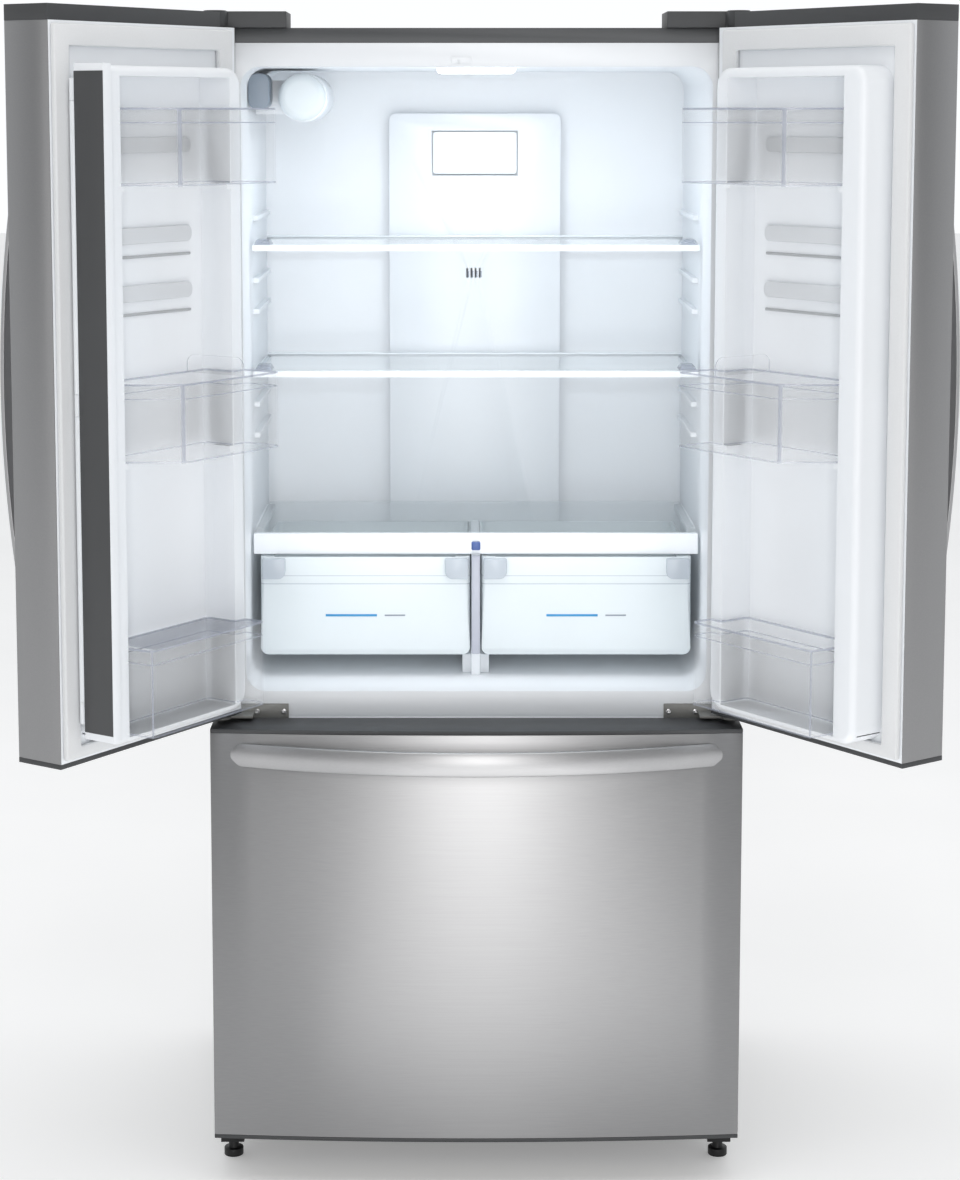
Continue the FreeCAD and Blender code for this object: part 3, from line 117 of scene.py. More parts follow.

# Front details of a crisper, in metres; the lines are bands painted darker as shade
CRISPER_ROUND = 0.010
CRISPER_SHADE_LINES = ((0.0430, 0.0415), (0.0300, 0.0290))
EAR_INSET, EAR_WIDE = 0.003, 0.036
EAR_TALL = (0.034, 0.002)
EAR_OUT, EAR_SUNK = 0.006, 0.001
EAR_ROUND = 0.012
EAR_BEND = (0.03, 0.02)
MARK = ((-0.062, 0.018), (0.8462, 0.8498))
DASH = ((0.030, 0.062), (0.8468, 0.8492))
PRINT_PROUD, PRINT_SUNK = 0.0006, 0.0004

# Handle straps, in metres
STRAP_THICK = 0.011
STRAP_OUTER = 0.005
STRAP_CROWN = 0.0045
END_ROUND = 0.014
END_WIDTH = 0.4
GRIP_SHARE = 0.6
CUTS_ALONG, CUTS_ACROSS = 63, 9

# Door bins, in metres, and the bottle divider on its door, in millimetres
BIN_WALL = 0.0025
BAND_LINE = 0.0012
FLOOR_BAND = (0.0008, 0.0028)
RIM_BAND = (0.0026, 0.0008)
CORNER_AREA = 0.0006
FULL_HEIGHT = 0.001
DIAGONAL = 0.25
BIN_MIDDLE = 100
DIVIDER_ALONG = (110.5, 112.7)
DIVIDER_INWARD = (33, 138)
DIVIDER_UP = (-1, 25)
DIVIDER_ROUND = 0.014

# Stage: name, place, turn in degrees, width and height, watts and colour of each light
NEUTRAL = (1.0, 0.99, 0.98)
LIGHTS = (
    ("key", (0.1, -6.2, 2.2), (80, 0, 0), (0.9, 4.5), 90, NEUTRAL),
    ("floor_strip", (0.1, -1.5, 0.01), (180, 0, 0), (0.8, 2.0), 5, NEUTRAL),
    ("overhead", (0.0, -1.4, 4.4), (12, 0, 0), (3.0, 2.5), 46, NEUTRAL),
    ("left_fill", (-4.2, -3.2, 2.4), (68, 0, -52), (1.6, 2.6), 14, NEUTRAL),
    ("right_fill", (4.2, -3.2, 2.4), (68, 0, 52), (1.6, 2.6), 14, NEUTRAL),
)
LAMP_GAP = 0.004
LAMP_SIZE, LAMP_POWER, LAMP_COLOR = (0.11, 0.03), 1.1, (0.86, 0.94, 1.0)
FILL_PLACE = (0, 12, 1230)
FILL_SIZE, FILL_POWER, FILL_COLOR = (0.6, 0.9), 0.75, (0.93, 0.97, 1.0)
FLOOR_SIZE = 60
FLOOR_GLOW = 0.24
FLOOR_ROUGH = 0.85
FLOOR_SHADES = ((0.86, 0.86, 0.86), (0.9, 0.9, 0.9))
SKY_COLOR = (0.97, 0.985, 1.0, 1)
SKY_SPAN = (-0.45, 0.45)
SKY_STRENGTH = (0.28, 1.02)
CAMERA_PLACE = (-0.0301, -3.8018, 1.6253)
CAMERA_PITCH = 6.49964
CAMERA_LENS = 75.5
CAMERA_SENSOR = 36
CAMERA_SHIFT = (0.0177, -0.165)


# ---------------------------------------------------------------- sizes and colours
class FridgeSizes(bpy.types.PropertyGroup):
    """Sizes that a user would change."""
    edge_round: FloatProperty(name="Edge Rounding", description="Radius on moulded edges",
                              default=0.0015, unit="LENGTH")
    bin_corner: FloatProperty(name="Bin Corner", description="Corner radius of the door bins",
                              default=0.009, unit="LENGTH")
    bin_band: FloatProperty(name="Bin Band", description="Height of the band under a bin's rim",
                            default=0.020, unit="LENGTH")
    grip_edge: FloatProperty(name="Grip Edge", description="Edge radius of the handles",
                             default=0.0045, unit="LENGTH")
    steel: FloatVectorProperty(name="Steel", description="Brushed steel", subtype="COLOR",
                               default=(0.33, 0.33, 0.335))
    white: FloatVectorProperty(name="White", description="Liner plastic", subtype="COLOR",
                               default=(0.81, 0.835, 0.865))
    dark: FloatVectorProperty(name="Dark", description="End caps and covers", subtype="COLOR",
                              default=(0.045, 0.047, 0.05))


# ---------------------------------------------------------------- finishes
def new_finish(name):
    """A material whose tree holds only its Principled shader and output."""
    material = bpy.data.materials.new(name)
    material.use_nodes = True
    tree = material.node_tree
    return material, tree, tree.nodes["Principled BSDF"]


def object_pattern(tree, scale):
    """Object coordinates stretched by scale."""
    source = tree.nodes.new("ShaderNodeTexCoord")
    mapping = tree.nodes.new("ShaderNodeMapping")
    mapping.inputs["Scale"].default_value = scale
    tree.links.new(source.outputs["Object"], mapping.inputs["Vector"])
    return mapping.outputs["Vector"]


def grain(tree, scale, detail=4.0, stretch=(1, 1, 1)):
    """A noise pattern."""
    noise = tree.nodes.new("ShaderNodeTexNoise")
    noise.inputs["Scale"].default_value = scale
    noise.inputs["Detail"].default_value = detail
    tree.links.new(object_pattern(tree, stretch), noise.inputs["Vector"])
    return noise.outputs["Fac"]


def spread(tree, source, low, high):
    """A pattern brought between two values."""
    node = tree.nodes.new("ShaderNodeMapRange")
    node.inputs["To Min"].default_value = low
    node.inputs["To Max"].default_value = high
    tree.links.new(source, node.inputs["Value"])
    return node.outputs["Result"]


def tinted(tree, source, low, high):
    """A pattern turned into a colour between two."""
    ramp = tree.nodes.new("ShaderNodeValToRGB")
    ramp.color_ramp.elements[0].position = 0.3
    ramp.color_ramp.elements[1].position = 0.7
    ramp.color_ramp.elements[0].color = (*low, 1)
    ramp.color_ramp.elements[1].color = (*high, 1)
    tree.links.new(source, ramp.inputs["Fac"])
    return ramp.outputs["Color"]


def roughened(tree, shader, source, strength, distance):
    """Bump from a pattern."""
    bump = tree.nodes.new("ShaderNodeBump")
    bump.inputs["Strength"].default_value = strength
    bump.inputs["Distance"].default_value = distance
    tree.links.new(source, bump.inputs["Height"])
    tree.links.new(bump.outputs["Normal"], shader.inputs["Normal"])


def shade(color, factor):
    """A colour made lighter or darker."""
    return tuple(min(1.0, channel * factor) for channel in color)


def brushed_steel(name, color, roughness, spun=0.0):
    """Steel brushed from side to side, with faint streaks in colour, gloss and relief."""
    material, tree, shader = new_finish(name)
    streaks = grain(tree, 3.0, 6.0, BRUSH_STRETCH)
    cloud = grain(tree, 2.2, 2.0)
    shader.inputs["Metallic"].default_value = 1.0
    tree.links.new(tinted(tree, streaks, shade(color, 0.97), shade(color, 1.03)),
                   shader.inputs["Base Color"])
    blend = tree.nodes.new("ShaderNodeMath")
    blend.operation = "MULTIPLY_ADD"
    blend.inputs[1].default_value = 0.06
    tree.links.new(cloud, blend.inputs[0])
    tree.links.new(spread(tree, streaks, roughness - 0.03, roughness + 0.02), blend.inputs[2])
    tree.links.new(blend.outputs["Value"], shader.inputs["Roughness"])
    roughened(tree, shader, streaks, 0.02, 0.0003)
    round_up = tree.nodes.new("ShaderNodeTangent")
    round_up.direction_type = "RADIAL"
    round_up.axis = "Z"
    tree.links.new(round_up.outputs["Tangent"], shader.inputs["Tangent"])
    shader.inputs["Anisotropic"].default_value = spun
    shader.inputs["Anisotropic Rotation"].default_value = 0.25
    return material


def moulded_plastic(name, color, roughness, fine=900.0, bump=0.05):
    """Moulded plastic: faint cloud in colour and gloss, fine skin texture."""
    material, tree, shader = new_finish(name)
    cloud = grain(tree, 3.0, 3.0)
    tree.links.new(tinted(tree, cloud, shade(color, 0.975), shade(color, 1.02)),
                   shader.inputs["Base Color"])
    tree.links.new(spread(tree, cloud, roughness - 0.04, roughness + 0.05),
                   shader.inputs["Roughness"])
    roughened(tree, shader, grain(tree, fine, 2.0), bump, 0.0003)
    return material


def painted_steel(name, color):
    """Textured paint over sheet steel."""
    material, tree, shader = new_finish(name)
    pebble = grain(tree, 700.0, 3.0)
    tree.links.new(tinted(tree, grain(tree, 4.0, 3.0), shade(color, 0.95), shade(color, 1.05)),
                   shader.inputs["Base Color"])
    shader.inputs["Metallic"].default_value = 0.25
    tree.links.new(spread(tree, pebble, 0.38, 0.52), shader.inputs["Roughness"])
    roughened(tree, shader, pebble, 0.18, 0.0003)
    return material


def clear_moulding(name, color, alpha, roughness=0.06):
    """See-through plastic or glass with faint flow marks."""
    material, tree, shader = new_finish(name)
    flow = grain(tree, 5.0, 2.0)
    tree.links.new(tinted(tree, flow, shade(color, 0.97), shade(color, 1.02)),
                   shader.inputs["Base Color"])
    tree.links.new(spread(tree, flow, roughness, roughness + 0.04), shader.inputs["Roughness"])
    shader.inputs["Alpha"].default_value = alpha
    shader.inputs["IOR"].default_value = 1.5
    roughened(tree, shader, flow, 0.02, 0.001)
    material.surface_render_method = "BLENDED"
    return material


def soft_rubber(name, color):
    """Matte vinyl with a dusty surface."""
    material, tree, shader = new_finish(name)
    dust = grain(tree, 420.0, 3.0)
    tree.links.new(tinted(tree, dust, shade(color, 0.985), shade(color, 1.01)),
                   shader.inputs["Base Color"])
    shader.inputs["Roughness"].default_value = 0.62
    shader.inputs["Sheen Weight"].default_value = 0.15
    roughened(tree, shader, dust, 0.04, 0.0001)
    return material


def glowing(name, color, strength):
    """An opal diffuser that is lit."""
    material, tree, shader = new_finish(name)
    cells = grain(tree, 300.0, 1.0)
    tree.links.new(tinted(tree, cells, shade(color, 0.96), color), shader.inputs["Base Color"])
    shader.inputs["Emission Color"].default_value = (*color, 1)
    shader.inputs["Emission Strength"].default_value = strength
    shader.inputs["Roughness"].default_value = 0.3
    return material


BRUSH_STRETCH = (2, 260, 260)
FINISHES = {}


def make_finishes(sizes):
    """Every finish of the refrigerator, by its name."""
    steel, white, dark = tuple(sizes.steel), tuple(sizes.white), tuple(sizes.dark)
    FINISHES.update({
        "stainless": brushed_steel("stainless", steel, 0.36, 0.85),
        "handle_steel": brushed_steel("handle_steel", shade(steel, 1.35), 0.36, 0.3),
        "bright_steel": brushed_steel("bright_steel", shade(steel, 1.45), 0.25),
        "cabinet_paint": painted_steel("cabinet_paint", (0.075, 0.078, 0.082)),
        "strip_metal": painted_steel("strip_metal", (0.065, 0.067, 0.07)),
        "black_enamel": painted_steel("black_enamel", (0.012, 0.012, 0.013)),
        "dark_plastic": moulded_plastic("dark_plastic", dark, 0.5, 700.0, 0.2),
        "white_plastic": moulded_plastic("white_plastic", white, 0.3, 500.0, 0.03),
        "trim_white": moulded_plastic("trim_white", shade(white, 1.1), 0.22, 500.0, 0.02),
        # Grey print on the crisper fronts; the same grey is painted shade in the openings of the air slots
        "grey_print_and_slot_shade": moulded_plastic("grey_print_and_slot_shade", (0.25, 0.28, 0.33), 0.4),
        "slate_plastic": moulded_plastic("slate_plastic", (0.22, 0.26, 0.31), 0.35),
        "divider_plastic": moulded_plastic("divider_plastic", (0.46, 0.48, 0.55), 0.35),
        "blue_plastic": moulded_plastic("blue_plastic", (0.05, 0.10, 0.30), 0.3),
        "cyan_print": moulded_plastic("cyan_print", (0.02, 0.26, 0.55), 0.35),
        "clear_plastic": clear_moulding("clear_plastic", (0.9, 0.93, 0.97), 0.045),
        # Painted shade: darker, more opaque clear plastic for the dark lines refraction draws along clear edges,
        # rims and small clear parts
        "clear_edge_shade": clear_moulding("clear_edge_shade", (0.42, 0.45, 0.53), 0.45),
        "frosted_plastic": clear_moulding("frosted_plastic", (0.88, 0.94, 0.97), 0.72, 0.3),
        # Painted shade: darker frosted plastic for the crisper's edges, front lines and grip ears
        "frosted_edge_shade": clear_moulding("frosted_edge_shade", (0.55, 0.60, 0.66), 0.75, 0.2),
        "shelf_glass": clear_moulding("shelf_glass", (0.82, 0.91, 0.94), 0.17, 0.03),
        "gasket": soft_rubber("gasket", (0.7, 0.71, 0.72)),
        "plate_metal": painted_steel("plate_metal", (0.2, 0.2, 0.19)),
        # Painted shade: the bars are the liner white darkened, the thin strips a darker grey painted as shadow
        # lines
        "bar_painted_shade": moulded_plastic("bar_painted_shade", shade(white, 0.8), 0.3, 500.0, 0.03),
        "painted_shadow_line": moulded_plastic("painted_shadow_line", shade(white, 0.5), 0.35),
        "foam": moulded_plastic("foam", (0.7, 0.62, 0.4), 0.9, 200.0, 0.5),
        "coil_metal": brushed_steel("coil_metal", (0.45, 0.45, 0.46), 0.42),
        "lamp": glowing("lamp", (0.93, 0.97, 1.0), 3.0),
    })


# ---------------------------------------------------------------- modelling by hand
def start_clean():
    """Leave edit mode and deselect everything."""
    if bpy.context.object and bpy.context.object.mode != "OBJECT":
        bpy.ops.object.mode_set(mode="OBJECT")
    bpy.ops.object.select_all(action="DESELECT")


def hold(piece):
    """Make one piece the only selected and active one."""
    start_clean()
    piece.select_set(True)
    bpy.context.view_layer.objects.active = piece


def add_block(name, low, high):
    """A block between two corners, its place in its mesh."""
    start_clean()
    low, high = Vector(low), Vector(high)
    bpy.ops.mesh.primitive_cube_add(size=1, location=(low + high) / 2, scale=high - low)
    bpy.ops.object.transform_apply(location=True, rotation=True, scale=True)
    piece = bpy.context.object
    piece.name = name
    return piece


def pick_faces(piece, chosen):
    """In edit mode, select the faces that chosen(face) accepts."""
    bpy.ops.object.mode_set(mode="EDIT")
    bpy.ops.mesh.select_mode(type="FACE")
    bpy.ops.mesh.select_all(action="DESELECT")
    mesh = bmesh.from_edit_mesh(piece.data)
    for face in mesh.faces:
        face.select_set(bool(chosen(face)))
    bmesh.update_edit_mesh(piece.data)


def pick_edges(piece, chosen):
    """In edit mode, select the edges that chosen(middle, direction, length) accepts."""
    bpy.ops.object.mode_set(mode="EDIT")
    bpy.ops.mesh.select_mode(type="EDGE")
    bpy.ops.mesh.select_all(action="DESELECT")
    mesh = bmesh.from_edit_mesh(piece.data)
    for edge in mesh.edges:
        start, end = edge.verts[0].co, edge.verts[1].co
        if chosen((start + end) / 2, (end - start).normalized(), (end - start).length):
            edge.select_set(True)
    bmesh.update_edit_mesh(piece.data)


def bevel_picked(radius, segments):
    """Bevel what is selected, then leave edit mode."""
    bpy.ops.mesh.bevel(offset=radius, segments=segments)
    bpy.ops.object.mode_set(mode="OBJECT")


def apply_modifier(piece, kind, **settings):
    """Add one modifier, set it and apply it."""
    hold(piece)
    modifier = piece.modifiers.new(kind.lower(), kind)
    for key, setting in settings.items():
        setattr(modifier, key, setting)
    bpy.ops.object.modifier_apply(modifier=modifier.name)


def soften_edges(piece, width, segments=2, angle=40, material=-1):
    """Round every sharp edge."""
    apply_modifier(piece, "BEVEL", width=width, segments=segments, limit_method="ANGLE",
                   angle_limit=math.radians(angle), use_clamp_overlap=True, material=material)


def smooth(piece, angle=35):
    """Shade smooth across shallow edges."""
    hold(piece)
    bpy.ops.object.shade_smooth_by_angle(angle=math.radians(angle))


def dress(piece, *finishes):
    """Give a piece its finishes, the first one all over."""
    piece.data.materials.clear()
    for finish in finishes:
        piece.data.materials.append(FINISHES[finish])


def refined(node):
    """A merged copy of a node's mesh whose flat faces are whole again."""
    source = frame["nodes"][node]
    piece = bpy.data.objects.new(node + "_fine", source.data.copy())
    bpy.context.collection.objects.link(piece)
    hold(piece)
    bpy.ops.object.mode_set(mode="EDIT")
    bpy.ops.mesh.select_all(action="SELECT")
    bpy.ops.mesh.remove_doubles(threshold=0.00001)
    bpy.ops.mesh.dissolve_limited(angle_limit=math.radians(0.5))
    bpy.ops.mesh.customdata_custom_splitnormals_clear()
    bpy.ops.object.mode_set(mode="OBJECT")
    for face in piece.data.polygons:
        face.material_index = 0
    return piece


def body_of(node):
    """The body that a node rides on."""
    groups = frame["record"]["behaviour"]["bodies"]
    return next(body for body, members in groups.items() if node in members)


def stand_in(piece, node):
    """The piece takes a node's place."""
    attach(piece, body_of(node))
    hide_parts(node)


def addition(piece, body):
    """The piece is extra detail on a body."""
    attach(piece, body)


# ---------------------------------------------------------------- doors as if shut
def swing(side_word):
    """Matrix that takes a shut door to where it rests."""
    joint = JOINTS[side_word + "_door_swing"]
    axis = Vector(joint["pos_m"])
    angle = math.radians(-joint["range_deg"][0])
    turn = Matrix.Rotation(angle, 4, Vector(joint["axis"]))
    return Matrix.Translation(axis) @ turn @ Matrix.Translation(-axis)


def move(piece, matrix):
    """Carry a piece by a matrix and keep its object at the origin."""
    hold(piece)
    piece.matrix_world = matrix
    bpy.ops.object.transform_apply(location=True, rotation=True, scale=True)


def shut_box(node, side_word):
    """A door node's lowest and highest corners with its door shut."""
    back = swing(side_word).inverted()
    points = [back @ vertex.co for vertex in frame["nodes"][node].data.vertices]
    low = Vector([min(point[axis] for point in points) for axis in range(3)])
    high = Vector([max(point[axis] for point in points) for axis in range(3)])
    return low, high


def at(x, y, z):
    """A point from millimetres off the cabinet's middle, its front flange and the floor."""
    return Vector((MID_X + x * MM, FRONT_Y + y * MM, z * MM))


def on_door(side_word, along, inward, z):
    """A point on a shut door: millimetres from its hinge axis, in towards the food, and up."""
    axis = JOINTS[side_word + "_door_swing"]["pos_m"]
    return Vector((axis[0] - SIDES[side_word] * along * MM, axis[1] + inward * MM, z * MM))


def door_block(name, side_word, along, inward, up):
    """A block on a shut door between two pairs of places."""
    start = on_door(side_word, along[0], inward[0], up[0])
    end = on_door(side_word, along[1], inward[1], up[1])
    low = [min(pair) for pair in zip(start, end)]
    high = [max(pair) for pair in zip(start, end)]
    return add_block(name, low, high)


def joined(name, pieces):
    """One object from several."""
    hold(pieces[0])
    for piece in pieces:
        piece.select_set(True)
    bpy.context.view_layer.objects.active = pieces[0]
    if len(pieces) > 1:
        bpy.ops.object.join()
    pieces[0].name = name
    return pieces[0]


def carry_over(node, finish, width=0.0, segments=2):
    """A node's shape with its edges rounded, unless width is 0, in the node's place."""
    piece = refined(node)
    dress(piece, finish)
    if width:
        soften_edges(piece, width, segments, 35)
    smooth(piece)
    stand_in(piece, node)


def rim_band(piece, low, high, index):
    """Give the faces between two heights their own finish."""
    for level in (low, high):
        hold(piece)
        bpy.ops.object.mode_set(mode="EDIT")
        bpy.ops.mesh.select_all(action="SELECT")
        bpy.ops.mesh.bisect(plane_co=(0, 0, level), plane_no=(0, 0, 1))
        bpy.ops.object.mode_set(mode="OBJECT")
    for face in piece.data.polygons:
        if low - SLACK < face.center.z < high + SLACK and abs(face.normal.z) < 0.5:
            face.material_index = index


# ---------------------------------------------------------------- pieces
class FRIDGE_OT_cabinet(bpy.types.Operator):
    """Outer cabinet, back, base, feet and rollers"""
    bl_idname = "fridge.cabinet"
    bl_label = "Cabinet"

    def execute(self, context):
        sizes = context.scene.fridge_sizes
        carry_over("cabinet_shell", "cabinet_paint", sizes.edge_round)
        carry_over("cabinet_back", "cabinet_paint", PANEL_EDGE)
        carry_over("base_frame", "black_enamel", PANEL_EDGE)
        carry_over("machine_cover", "black_enamel")
        carry_over("cord_gland", "dark_plastic", PANEL_EDGE)
        carry_over("levelling_feet", "black_enamel", SMALL_EDGE)
        carry_over("rear_rollers", "dark_plastic", SMALL_EDGE)
        carry_over("insulation_foam", "foam")
        return {"FINISHED"}


class FRIDGE_OT_interior(bpy.types.Operator):
    """Liners, centre rail, air column, lamp and water filter"""
    bl_idname = "fridge.interior"
    bl_label = "Interior"

    def execute(self, context):
        sizes = context.scene.fridge_sizes
        carry_over("fridge_liner", "white_plastic", sizes.edge_round)
        carry_over("freezer_liner", "white_plastic", sizes.edge_round)
        carry_over("centre_rail", "cabinet_paint", SMALL_EDGE)
        carry_over("air_duct_cover", "white_plastic", COVER_EDGE)
        carry_over("air_filter_door", "trim_white", CAP_EDGE, segments=3)
        carry_over("lamp_lens", "lamp", SEAL_EDGE, segments=3)
        carry_over("mullion_guide", "white_plastic", SHEET_EDGE)
        carry_over("water_filter_housing", "white_plastic", SMALL_EDGE)
        carry_over("water_filter_cap", "frosted_plastic", CAP_EDGE)
        carry_over("evaporator_cover", "white_plastic", SMALL_EDGE)
        self.air_slots()
        self.filter_socket()
        return {"FINISHED"}

    def filter_socket(self):
        """Dark hollow beside the water filter."""
        piece = add_block("filter_socket", at(*SOCKET[0]), at(*SOCKET[1]))
        dress(piece, "slate_plastic")
        pick_edges(piece, lambda middle, run, length: abs(run.y) > ALIGNED)
        bevel_picked(SOCKET_ROUND, 6)
        soften_edges(piece, COVER_EDGE, 3, 50)
        smooth(piece, 50)
        addition(piece, "root")

    def air_slots(self):
        """Four short slots in the air column, as grey blocks painted with the shade inside their openings."""
        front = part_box("air_duct_cover")[0].y
        slots = []
        for place in SLOT_PLACES:
            middle = at(place, 0, SLOT_LEVEL)
            low = (middle.x - SLOT_HALF[0], front - SLOT_PROUD, middle.z - SLOT_HALF[1])
            high = (middle.x + SLOT_HALF[0], front + SLOT_DEEP, middle.z + SLOT_HALF[1])
            slots.append(add_block("slot", low, high))
        piece = joined("air_slots", slots)
        dress(piece, "grey_print_and_slot_shade")
        soften_edges(piece, SHEET_EDGE, 2)
        smooth(piece)
        addition(piece, "root")


class FRIDGE_OT_shelves(bpy.types.Operator):
    """Glass shelves with their white front trims"""
    bl_idname = "fridge.shelves"
    bl_label = "Shelves"

    def execute(self, context):
        carry_over("shelf_glasses", "shelf_glass", SMALL_EDGE)
        carry_over("shelf_trims", "trim_white", TRIM_EDGE, segments=3)
        clips = []
        for level in SHELF_LEVELS:
            for side in SIDES.values():
                clips.append(self.clip(side, level))
        piece = joined("shelf_clips", clips)
        # Painted shade: the clips are wholly in the darker clear finish of refracting edges
        dress(piece, "clear_edge_shade")
        soften_edges(piece, PART_EDGE, 2)
        smooth(piece)
        addition(piece, "root")
        return {"FINISHED"}

    def clip(self, side, level):
        """A see-through corner clip that narrows upwards, on a shelf's front corner."""
        inner, outer = sorted(side * edge for edge in CLIP_SPAN)
        start = at(inner, CLIP_DEPTH[0], level + CLIP_RISE[0])
        end = at(outer, CLIP_DEPTH[1], level + CLIP_RISE[1])
        piece = add_block("clip", start, end)
        pick_faces(piece, lambda face: face.normal.z > MOSTLY)
        bpy.ops.transform.resize(value=CLIP_TAPER)
        bpy.ops.object.mode_set(mode="OBJECT")
        return piece


class FRIDGE_OT_crispers(bpy.types.Operator):
    """Crisper drawers, their cover and frame"""
    bl_idname = "fridge.crispers"
    bl_label = "Crispers"

    def execute(self, context):
        carry_over("crisper_cover_glass", "shelf_glass", SMALL_EDGE)
        carry_over("crisper_frame", "trim_white", PART_EDGE)
        for word in SIDES:
            self.drawer(word)
            self.front_details(word)
        post = add_block("divider_post", at(*DIVIDER_POST[0]), at(*DIVIDER_POST[1]))
        dress(post, "divider_plastic")
        soften_edges(post, CAP_EDGE, 3)
        smooth(post)
        addition(post, "root")
        cap = add_block("divider_cap", at(*DIVIDER_CAP[0]), at(*DIVIDER_CAP[1]))
        dress(cap, "blue_plastic")
        soften_edges(cap, LINER_EDGE, 3)
        smooth(cap)
        addition(cap, "root")
        return {"FINISHED"}

    def drawer(self, word):
        """A frosted tub with round corners and a clearer rim; its rounded edges and two lines across its front are
        painted darker as the shade refraction draws along moulded edges.
        """
        node = "crisper_" + word
        piece = refined(node)
        dress(piece, "frosted_plastic", "frosted_edge_shade")
        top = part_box(node)[1].z
        pick_edges(piece, lambda middle, run, length: abs(run.z) > ALIGNED and length > UPRIGHT)
        bevel_picked(CRISPER_ROUND, 4)
        soften_edges(piece, PART_EDGE, 2, 35, material=1)
        for lower, upper in CRISPER_SHADE_LINES:
            rim_band(piece, top - lower, top - upper, 1)
        smooth(piece)
        stand_in(piece, node)

    def front_details(self, word):
        """Grip ears, a plain coloured mark and a grey dash on a crisper's front."""
        low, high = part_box("crisper_" + word)
        front = low.y
        middle = (low.x + high.x) / 2
        ears = []
        for side in SIDES.values():
            edge = low.x + EAR_INSET if side < 0 else high.x - EAR_INSET
            start, end = sorted((edge, edge - side * EAR_WIDE))
            ear = add_block("ear", (start, front - EAR_OUT, high.z - EAR_TALL[0]),
                            (end, front + EAR_SUNK, high.z - EAR_TALL[1]))
            pick_edges(ear, lambda centre, run, length: abs(run.y) > MOSTLY
                       and centre.z < high.z - EAR_BEND[0] and (centre.x - middle) * side
                       < abs(edge - middle) - EAR_BEND[1])
            bevel_picked(EAR_ROUND, 5)
            ears.append(ear)
        piece = joined("crisper_%s_grips" % word, ears)
        # Painted shade: the ears take the darker frosted finish
        dress(piece, "frosted_edge_shade")
        soften_edges(piece, EAR_EDGE, 3)
        smooth(piece)
        addition(piece, "crisper_" + word)
        for name, place, finish, slot in (("mark", MARK, "cyan_print", "trim_white"),
                                          ("dash", DASH, "grey_print_and_slot_shade", "dark_plastic")):
            (start, end), (bottom, top) = place
            line = add_block("crisper_%s_%s" % (word, name),
                             (middle + start, front - PRINT_PROUD, bottom),
                             (middle + end, front + PRINT_SUNK, top))
            dress(line, finish)
            soften_edges(line, HAIR_EDGE, 2)
            smooth(line)
            addition(line, "crisper_" + word)


class FRIDGE_OT_hinges(bpy.types.Operator):
    """Hinges with their covers and screws"""
    bl_idname = "fridge.hinges"
    bl_label = "Hinges"

    def execute(self, context):
        carry_over("top_hinges", "bright_steel", SHEET_EDGE)
        carry_over("hinge_covers", "dark_plastic", SEAL_EDGE, segments=3)
        carry_over("middle_hinges", "plate_metal", SLIDE_EDGE)
        carry_over("hinge_screws", "bright_steel", HAIR_EDGE)
        return {"FINISHED"}


class FRIDGE_OT_doors(bpy.types.Operator):
    """Door skins, end caps, liners and gaskets"""
    bl_idname = "fridge.doors"
    bl_label = "Doors"

    def execute(self, context):
        for word in SIDES:
            carry_over(word + "_door_skin", "stainless", SHEET_EDGE)
            carry_over(word + "_door_caps", "dark_plastic", PART_EDGE)
            carry_over(word + "_door_liner", "white_plastic", LINER_EDGE, segments=3)
            carry_over(word + "_door_gasket", "gasket", SEAL_EDGE, segments=3)
            self.liner_bars(word)
        return {"FINISHED"}

    def liner_bars(self, word):
        """Raised bars across the recess of a door's liner, greyed as painted shade, and thin dark strips painted
        as shadow lines under two of them.
        """
        bars, lines = [], []
        for low, high, depth in LINER_BARS_AND_SHADOW_LINES:
            bar = door_block("bar", word, BAR_REACH,
                             (LINER_PLANE - BAR_SUNK, LINER_PLANE + depth), (low, high))
            pick_edges(bar, lambda middle, run, length: abs(run.y) > ALIGNED)
            bevel_picked((high - low) * MM * BAR_ROUND, 5)
            (bars if depth > SHADOW_LINE_DEPTH else lines).append(bar)
        for name, group, finish in (("bars", bars, "bar_painted_shade"),
                                    ("lines", lines, "painted_shadow_line")):
            piece = joined("%s_door_%s" % (word, name), group)
            dress(piece, finish)
            soften_edges(piece, BAR_EDGE, 3, 50)
            smooth(piece, 40)
            move(piece, swing(word))
            addition(piece, word + "_door")


